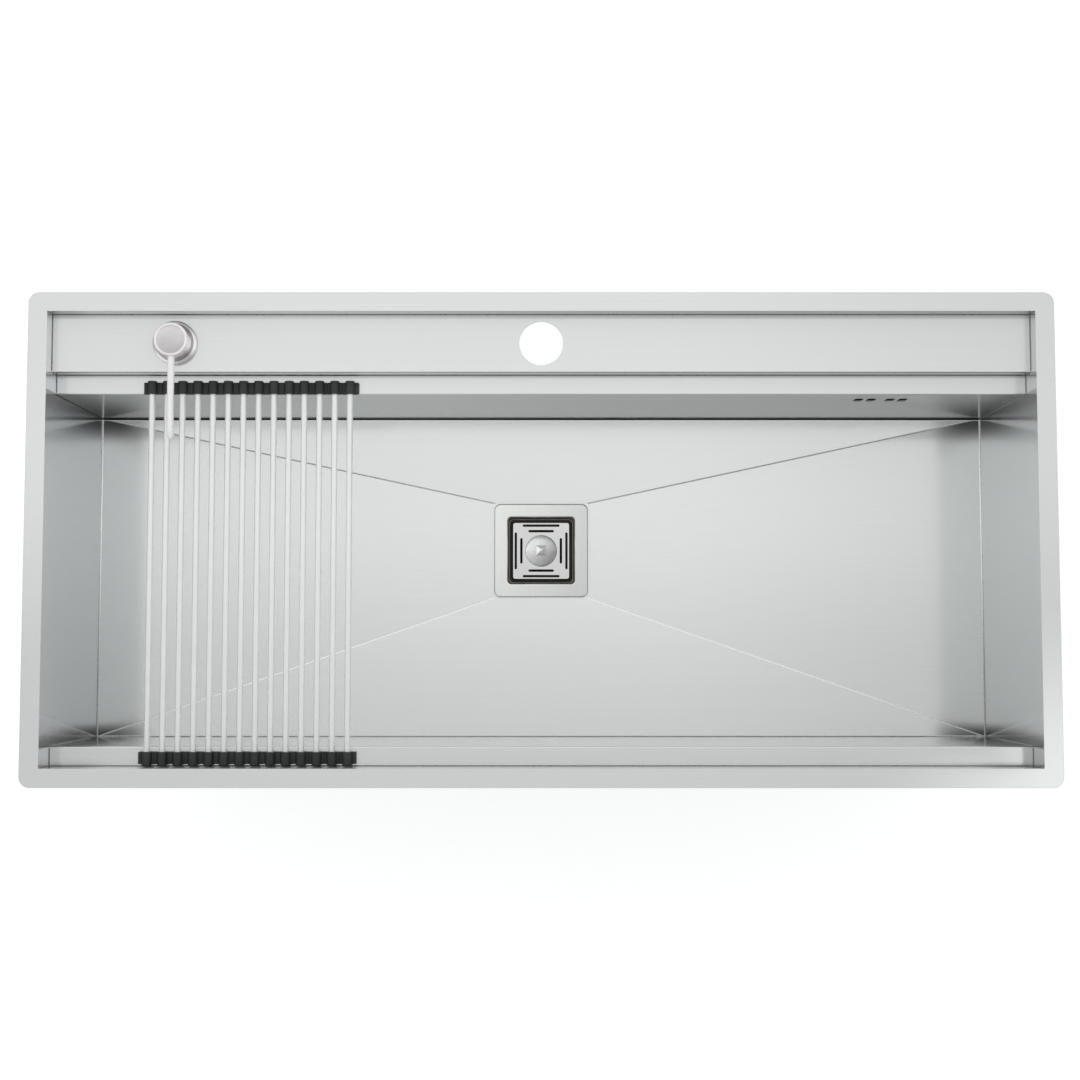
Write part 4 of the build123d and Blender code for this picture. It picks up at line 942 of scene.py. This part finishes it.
rod_pitch, rod_count, flat_rods, rod_radius, knuckle_radius = 15.05, 14, 11, 3.0, 4.6
rods_low, rods_high = span("rack_rods")
first_rod, rod_z = rods_low.x + rod_radius, rods_low.z + rod_radius
strip_places = {}
for name, side in (("rack_back_strip", 1), ("rack_front_strip", -1)):
    strip_low, strip_high = span(name)
    strip_places[name] = (strip_low.y, strip_high.y, side)


def end_edges(rod):
    """Edges round the two ends of a bar that lies along Y, from its vertices."""
    return [e for e in edges_of(rod) if abs(e.verts[0].co.y - e.verts[1].co.y) < 1e-6]


def rack_rods(name, xs, body, node):
    bm = bmesh.new()
    for x in xs:
        rod = bar(bm, (x, rods_low.y, rod_z), (x, rods_high.y, rod_z), rod_radius)
        soften(bm, 0.5, 2, 30, end_edges(rod))
    rods = piece(name, bm, body, "rod_steel", rod_steel, node)
    rods.visible_glossy = False


def silicone_links(name, xs, left_x, right_x, places, body, node):
    """Knuckles bored for the rods, and the ribbed web between them."""
    bm = bmesh.new()
    facets, rib_offset, rib_half, web_step = 28, 5.9, 0.8, 1.1
    for low_y, high_y, side in places:
        inner_y, outer_y = (low_y, high_y) if side > 0 else (high_y, low_y)
        for x in xs:
            knuckle = bar(bm, (x, inner_y, rod_z), (x, outer_y, rod_z), knuckle_radius, facets)
            soften(bm, 0.45, 3, 30, end_edges(knuckle))
            mouths = [
                f for f in bm.faces
                if len(f.verts) == facets and abs(f.calc_center_median().y - inner_y * mm) < 1e-6
                and abs(f.calc_center_median().x - x * mm) < 1e-5
            ]
            bmesh.ops.inset_region(bm, faces=mouths, thickness=0.85 * mm)
            pushed(bm, mouths, y=side * 11.0)
            bmesh.ops.delete(bm, geom=mouths, context="FACES")
        web_low, web_high = (low_y, high_y - web_step) if side > 0 else (low_y + web_step, high_y)
        web = block(bm, (left_x, web_low, rod_z - 3.0), (right_x, web_high, rod_z - 0.6))
        soften(bm, 0.35, 2, 30, edges_of(web))
        for x in xs:
            for rib_x in (x - rib_offset, x + rib_offset):
                low_x, high_x = rib_x - rib_half, rib_x + rib_half
                if left_x < low_x and high_x < right_x:
                    rib = block(bm, (low_x, web_low + 0.3, rod_z - 1.6), (high_x, web_high - 0.3, rod_z))
                    soften(bm, 0.5, 3, 30, edges_of(rib))
    piece(name, bm, body, "silicone", black_silicone, node)


rod_xs = [first_rod + number * rod_pitch for number in range(rod_count)]
flat_xs = rod_xs[:flat_rods]
half_link, end_tab = (rod_pitch - 0.3) / 2, 8.5
rack_rods("flat_rods", flat_xs, "rack", "rack_rods")
for name, place in strip_places.items():
    strip_name = name.replace("rack", "ribbed")
    silicone_links(strip_name, flat_xs, flat_xs[0] - end_tab, flat_xs[-1] + half_link, [place], "rack", name)
places = list(strip_places.values())
for number in range(flat_rods + 1, rod_count + 1):
    x = rod_xs[number - 1]
    link = f"rack_link_{number - flat_rods}"
    right_x = x + (end_tab if number == rod_count else half_link)
    rack_rods(f"rolling_rod_{number}", [x], link, f"rack_rod_{number}")
    knuckles, node = f"rolling_knuckles_{number}", f"rack_knuckles_{number}"
    silicone_links(knuckles, [x], x - half_link, right_x, places, link, node)


# Nuts, pipes and pads under the sink

def flat_nut(name, node, x, y, corner_radius, sides, bore_radius, bevel):
    """Plastic nut with flat sides round an upright bore."""
    bm = bmesh.new()
    low, high = span(node)
    edges = []
    for count, radius in ((sides, corner_radius), (48, bore_radius)):
        ring = circle(bm, radius, count)
        if count == sides:
            rotate(bm, ring, math.pi / 2, "Z")
        move(bm, ring, x, y, low.z)
        edges += edges_of(ring)
    pushed(bm, filled(bm, edges), z=high.z - low.z)
    face_out(bm)
    middle, past_bore = point(x, y, 0).xy, (bore_radius + 0.5) * mm
    outer = [v for v in bm.verts if (v.co.xy - middle).length > past_bore]
    soften(bm, bevel, 3, 30, edges_of(outer))
    piece(name, bm, "sink", "black_plastic", black_plastic, node, smooth=30)


def ribbed(bm, outline, ribs, depth, base_radius):
    """Turned shape whose outer wall carries grip ribs; returns its vertices."""
    known = set(bm.verts)
    turned(bm, 0, 0, outline, ribs, True)
    walls = [
        f for f in bm.faces
        if f.verts[0] not in known and abs(f.normal.z) < 0.1
        and f.calc_center_median().xy.length > (base_radius - 0.5) * mm
        and max(v.co.z for v in f.verts) - min(v.co.z for v in f.verts) > 4 * mm
    ]
    face_out(bm)
    bmesh.ops.inset_individual(
        bm, faces=walls, thickness=0.25 * depth * mm, depth=depth * mm, use_even_offset=True
    )
    return [v for v in bm.verts if v not in known]


def waste_coupling():
    bm = bmesh.new()
    low, high = span("waste_coupling_nut")
    washer_z = span("waste_washer")[1].z
    flange_z = low.z + 4.0
    base, bevel = 34.2, 0.8
    outline = [(28.1, high.z), (base - bevel, high.z), (base, high.z - bevel), (base, low.z + bevel)]
    outline += [(base - bevel, low.z), (23.0, low.z), (23.0, flange_z), (30.5, flange_z)]
    outline += [(30.5, washer_z), (28.1, washer_z)]
    ribbed(bm, outline, 40, 1.1, base)
    piece("ribbed_coupling", bm, "sink", "black_plastic", black_plastic, "waste_coupling_nut", smooth=30)


housing_low, housing_high = span("overflow_housing")
waste_low, waste_high = span("waste_tee")
overflow_x = (housing_low.x + housing_high.x) / 2
overflow_pipe_y = housing_high.y - 13.0
branch_z = waste_high.z - 34.0
pipe_way = Vector((overflow_x, overflow_pipe_y, 0)).normalized()
to_branch = Matrix.Translation(point(0, 0, branch_z)) @ pipe_way.to_track_quat("Z", "Y").to_matrix().to_4x4()


def pipe_nuts():
    bm = bmesh.new()
    base, bore, length, bevel, ribs, rib_depth = 13.7, 11.1, 22.0, 0.8, 28, 0.8
    outline = [(bore, 0), (base - bevel, 0), (base, bevel), (base, length - bevel), (base - bevel, length)]
    outline += [(bore, length)]
    upper = ribbed(bm, outline, ribs, rib_depth, base)
    upper_z = housing_low.z - 1.0 - length / 2
    move(bm, upper, overflow_x, overflow_pipe_y, upper_z)
    lower = ribbed(bm, outline, ribs, rib_depth, base)
    move(bm, lower, 0, 0, 51.0 - length / 2)
    bmesh.ops.transform(bm, matrix=to_branch, verts=lower)
    piece("ribbed_pipe_nuts", bm, "sink", "black_plastic", black_plastic, "overflow_pipe_nuts", smooth=30)


def waste_tee():
    bm = bmesh.new()
    top, bottom = waste_high.z, waste_low.z
    outline = [(21.0, top), (29.6, top), (30.0, top - 0.4), (30.0, top - 2.6), (29.6, top - 3.0)]
    outline += [(23.1, top - 3.0), (22.5, top - 3.6), (22.5, bottom + 20.5)]
    outline += thread(23.9, bottom + 20.0, bottom + 1.0, 2.4, 1.2) + [(22.4, bottom), (21.0, bottom)]
    turned(bm, 0, 0, outline, 64, True)
    known = set(bm.verts)
    branch = [(9.0, 21.4), (13.2, 21.4), (13.2, 24.6), (12.0, 26.2), (11.0, 27.0)]
    branch += [(11.0, 49.6), (10.6, 50.0), (9.0, 50.0)]
    turned(bm, 0, 0, branch, 48, True)
    bmesh.ops.transform(bm, matrix=to_branch, verts=[v for v in bm.verts if v not in known])
    piece("waste_pipe", bm, "sink", "white_plastic", white_plastic, "waste_tee", smooth=30)


def overflow_box():
    bm = bmesh.new()
    border, ear, ear_reach, height = 6.0, 4.0, 16.0, 36.0
    left, right = housing_low.x + ear_reach, housing_high.x - ear_reach
    top, front, back = housing_high.z, housing_low.y, housing_high.y
    box = block(bm, (left, front, top - height), (right, back, top))
    mouth = [f for f in bm.faces if f.calc_center_median().y < (front + 0.1) * mm]
    bmesh.ops.inset_region(bm, faces=mouth, thickness=border * mm)
    pushed(bm, mouth, y=back - front - 2.0)
    bmesh.ops.delete(bm, geom=mouth, context="FACES")
    face_out(bm)
    rear = [v for v in box if v.co.y > (back - 0.1) * mm]
    soften(bm, 1.6, 4, 30, edges_between(rear))
    for low, high in ((housing_low.x, left), (right, housing_high.x)):
        plate = block(bm, (low, front, top - 28.0), (high, front + ear, top - 8.0))
        soften(bm, 1.0, 3, 30, edges_of(plate))
    foot, spigot_top = housing_low.z, top - height + 1.0
    spigot = [(9.0, foot), (10.6, foot), (11.0, foot + 0.4), (11.0, spigot_top), (9.0, spigot_top)]
    turned(bm, overflow_x, overflow_pipe_y, spigot, 48, True)
    piece("overflow_box", bm, "sink", "white_plastic", white_plastic, "overflow_housing", smooth=30)


def damping_pads():
    bm = bmesh.new()
    thick, flange_pad = 3.0, 52.0
    fall = math.atan2(floor_edge_z - drain_pad_z, half_length - flange_pad)
    middle_x, middle_z = (half_length + flange_pad) / 2, (floor_edge_z + drain_pad_z) / 2 - sheet
    wall_z, middle_y = (accessory_z + floor_edge_z) / 2, (back_wall_y + front_wall_y) / 2
    places = []
    for side in (-1, 1):
        lean = Matrix.Rotation(-side * fall, 4, "Y") @ Matrix.Rotation(math.pi, 4, "X")
        places.append((240.0, 120.0, Matrix.Translation(point(side * middle_x, 0, middle_z)) @ lean))
        wall_place = Matrix.Translation(point(side * (half_length + sheet), middle_y, wall_z))
        stand = Matrix.Rotation(side * math.pi / 2, 4, "Y")
        places.append((90.0, back_wall_y - front_wall_y - 110.0, wall_place @ stand))
    front = Matrix.Translation(point(0, front_wall_y - sheet, wall_z)) @ Matrix.Rotation(math.pi / 2, 4, "X")
    places.append((half_length, 90.0, front))
    for length, width, place in places:
        known = set(bm.verts)
        edges = rounded_outline(bm, 0, 0, length, width, 7.0, 0)
        outer = pushed(bm, filled(bm, edges), z=thick)
        face_out(bm)
        soften(bm, 0.7, 3, 60, edges_between(outer))
        bmesh.ops.transform(bm, matrix=place, verts=[v for v in bm.verts if v not in known])
    piece("damping_pads", bm, "sink", "damping_pad", damping_rubber, "sound_pads", smooth=30)


flat_nut("octagon_nut", "drain_lock_nut", 0, 0, 37.0, 8, 28.1, 1.0)
flat_nut("hexagon_nut", "soap_lock_nut", soap_x, soap_y, 20.5, 6, 12.6, 0.8)
waste_coupling()
pipe_nuts()
waste_tee()
overflow_box()
damping_pads()


# Light, floor and camera

pale_light = (0.985, 1.0, 1.0, 1)


def level_sheet(name, half_side, z):
    """Level square sheet of the studio, at a height in metres."""
    bm = bmesh.new()
    bmesh.ops.create_grid(bm, x_segments=1, y_segments=1, size=half_side)
    bmesh.ops.translate(bm, vec=(0, 0, z), verts=bm.verts)
    return mesh_object(name, bm)


def seen_background(tree):
    """1 for rays that show the background: to the camera, in gloss and through clear plastic."""
    path = tree.nodes.new("ShaderNodeLightPath")
    seen = combine(tree, "MAXIMUM", path.outputs["Is Camera Ray"], path.outputs["Is Transmission Ray"])
    return combine(tree, "MAXIMUM", seen, path.outputs["Is Glossy Ray"])


def world_light():
    """Pale world: white where it is seen, and brighter from the sides than from above where it lights."""
    world = bpy.data.worlds.new("studio")
    scene.world = world
    world.use_nodes = True
    tree = world.node_tree
    background = tree.nodes["Background"]
    background.inputs["Color"].default_value = pale_light
    shown = seen_background(tree)
    unlit = spread(tree, shown, 1, 0, 0, 1)
    lit = spread(tree, object_axes(tree, "Generated")[2], 0.9, 0.3, 0.1, 0.6)
    strength = combine(tree, "ADD", shown, combine(tree, "MULTIPLY", lit, unlit))
    tree.links.new(strength, background.inputs["Strength"])


def softbox():
    """Overhead light, weaker to the front and the right, with a bright patch past the front right corner."""
    height = 0.62
    box = level_sheet("overhead_softbox", 1.3, height)
    box.visible_camera = False
    box.visible_shadow = False
    glow, tree, shader = node_material("softbox_glow", (0, 0, 0), 1.0)
    x, y, _ = object_axes(tree)
    front_to_back = spread(tree, y, 0.735, 1.0, -0.19, 0.16, True)
    past_bowl = spread(tree, y, 1.0, 0.96, 0.24, 0.32, True)
    to_right = spread(tree, x, 1.0, 0.86, 0.12, 0.68, True)
    to_left = spread(tree, x, 0.95, 1.0, -0.7, -0.3, True)
    place = tree.nodes.new("ShaderNodeTexCoord")
    away = tree.nodes.new("ShaderNodeVectorMath")
    away.operation = "DISTANCE"
    away.inputs[1].default_value = (0.69, -0.28, height)
    tree.links.new(place.outputs["Object"], away.inputs[0])
    past_end = spread(tree, x, 0.0, 1.0, 0.62, 0.67, True)
    past_front = spread(tree, y, 1.0, 0.0, -0.275, -0.255, True)
    near_patch = spread(tree, away.outputs["Value"], 0.6, 0.0, 0.0, 0.27, True)
    patch = combine(tree, "MULTIPLY", near_patch, combine(tree, "MAXIMUM", past_end, past_front))
    across = combine(tree, "MULTIPLY", to_right, to_left)
    level = combine(tree, "MULTIPLY", combine(tree, "MULTIPLY", front_to_back, past_bowl), across)
    shader.inputs["Emission Color"].default_value = pale_light
    tree.links.new(combine(tree, "ADD", level, patch), shader.inputs["Emission Strength"])
    box.data.materials.append(glow)


def pale_floor():
    floor = level_sheet("pale_floor", 8.0, cad_box[0].z - 0.001)
    pale, tree, shader = node_material("pale_floor", (0.9, 0.9, 0.9), 0.9)
    shader.inputs["Emission Color"].default_value = (1, 1, 1, 1)
    tree.links.new(spread(tree, seen_background(tree), 0.0, 0.5, 0, 1), shader.inputs["Emission Strength"])
    floor.data.materials.append(pale)


def photograph_camera():
    camera = bpy.data.cameras.new("camera")
    camera.sensor_width = 36.0
    camera.lens = 53.73
    holder = bpy.data.objects.new("camera", camera)
    holder.location = (-0.00124, -0.10588, 1.55484)
    holder.rotation_euler = (math.radians(3.816), 0, 0)
    scene.collection.objects.link(holder)
    scene.camera = holder


world_light()
softbox()
pale_floor()
photograph_camera()
scene.view_settings.view_transform = "Standard"
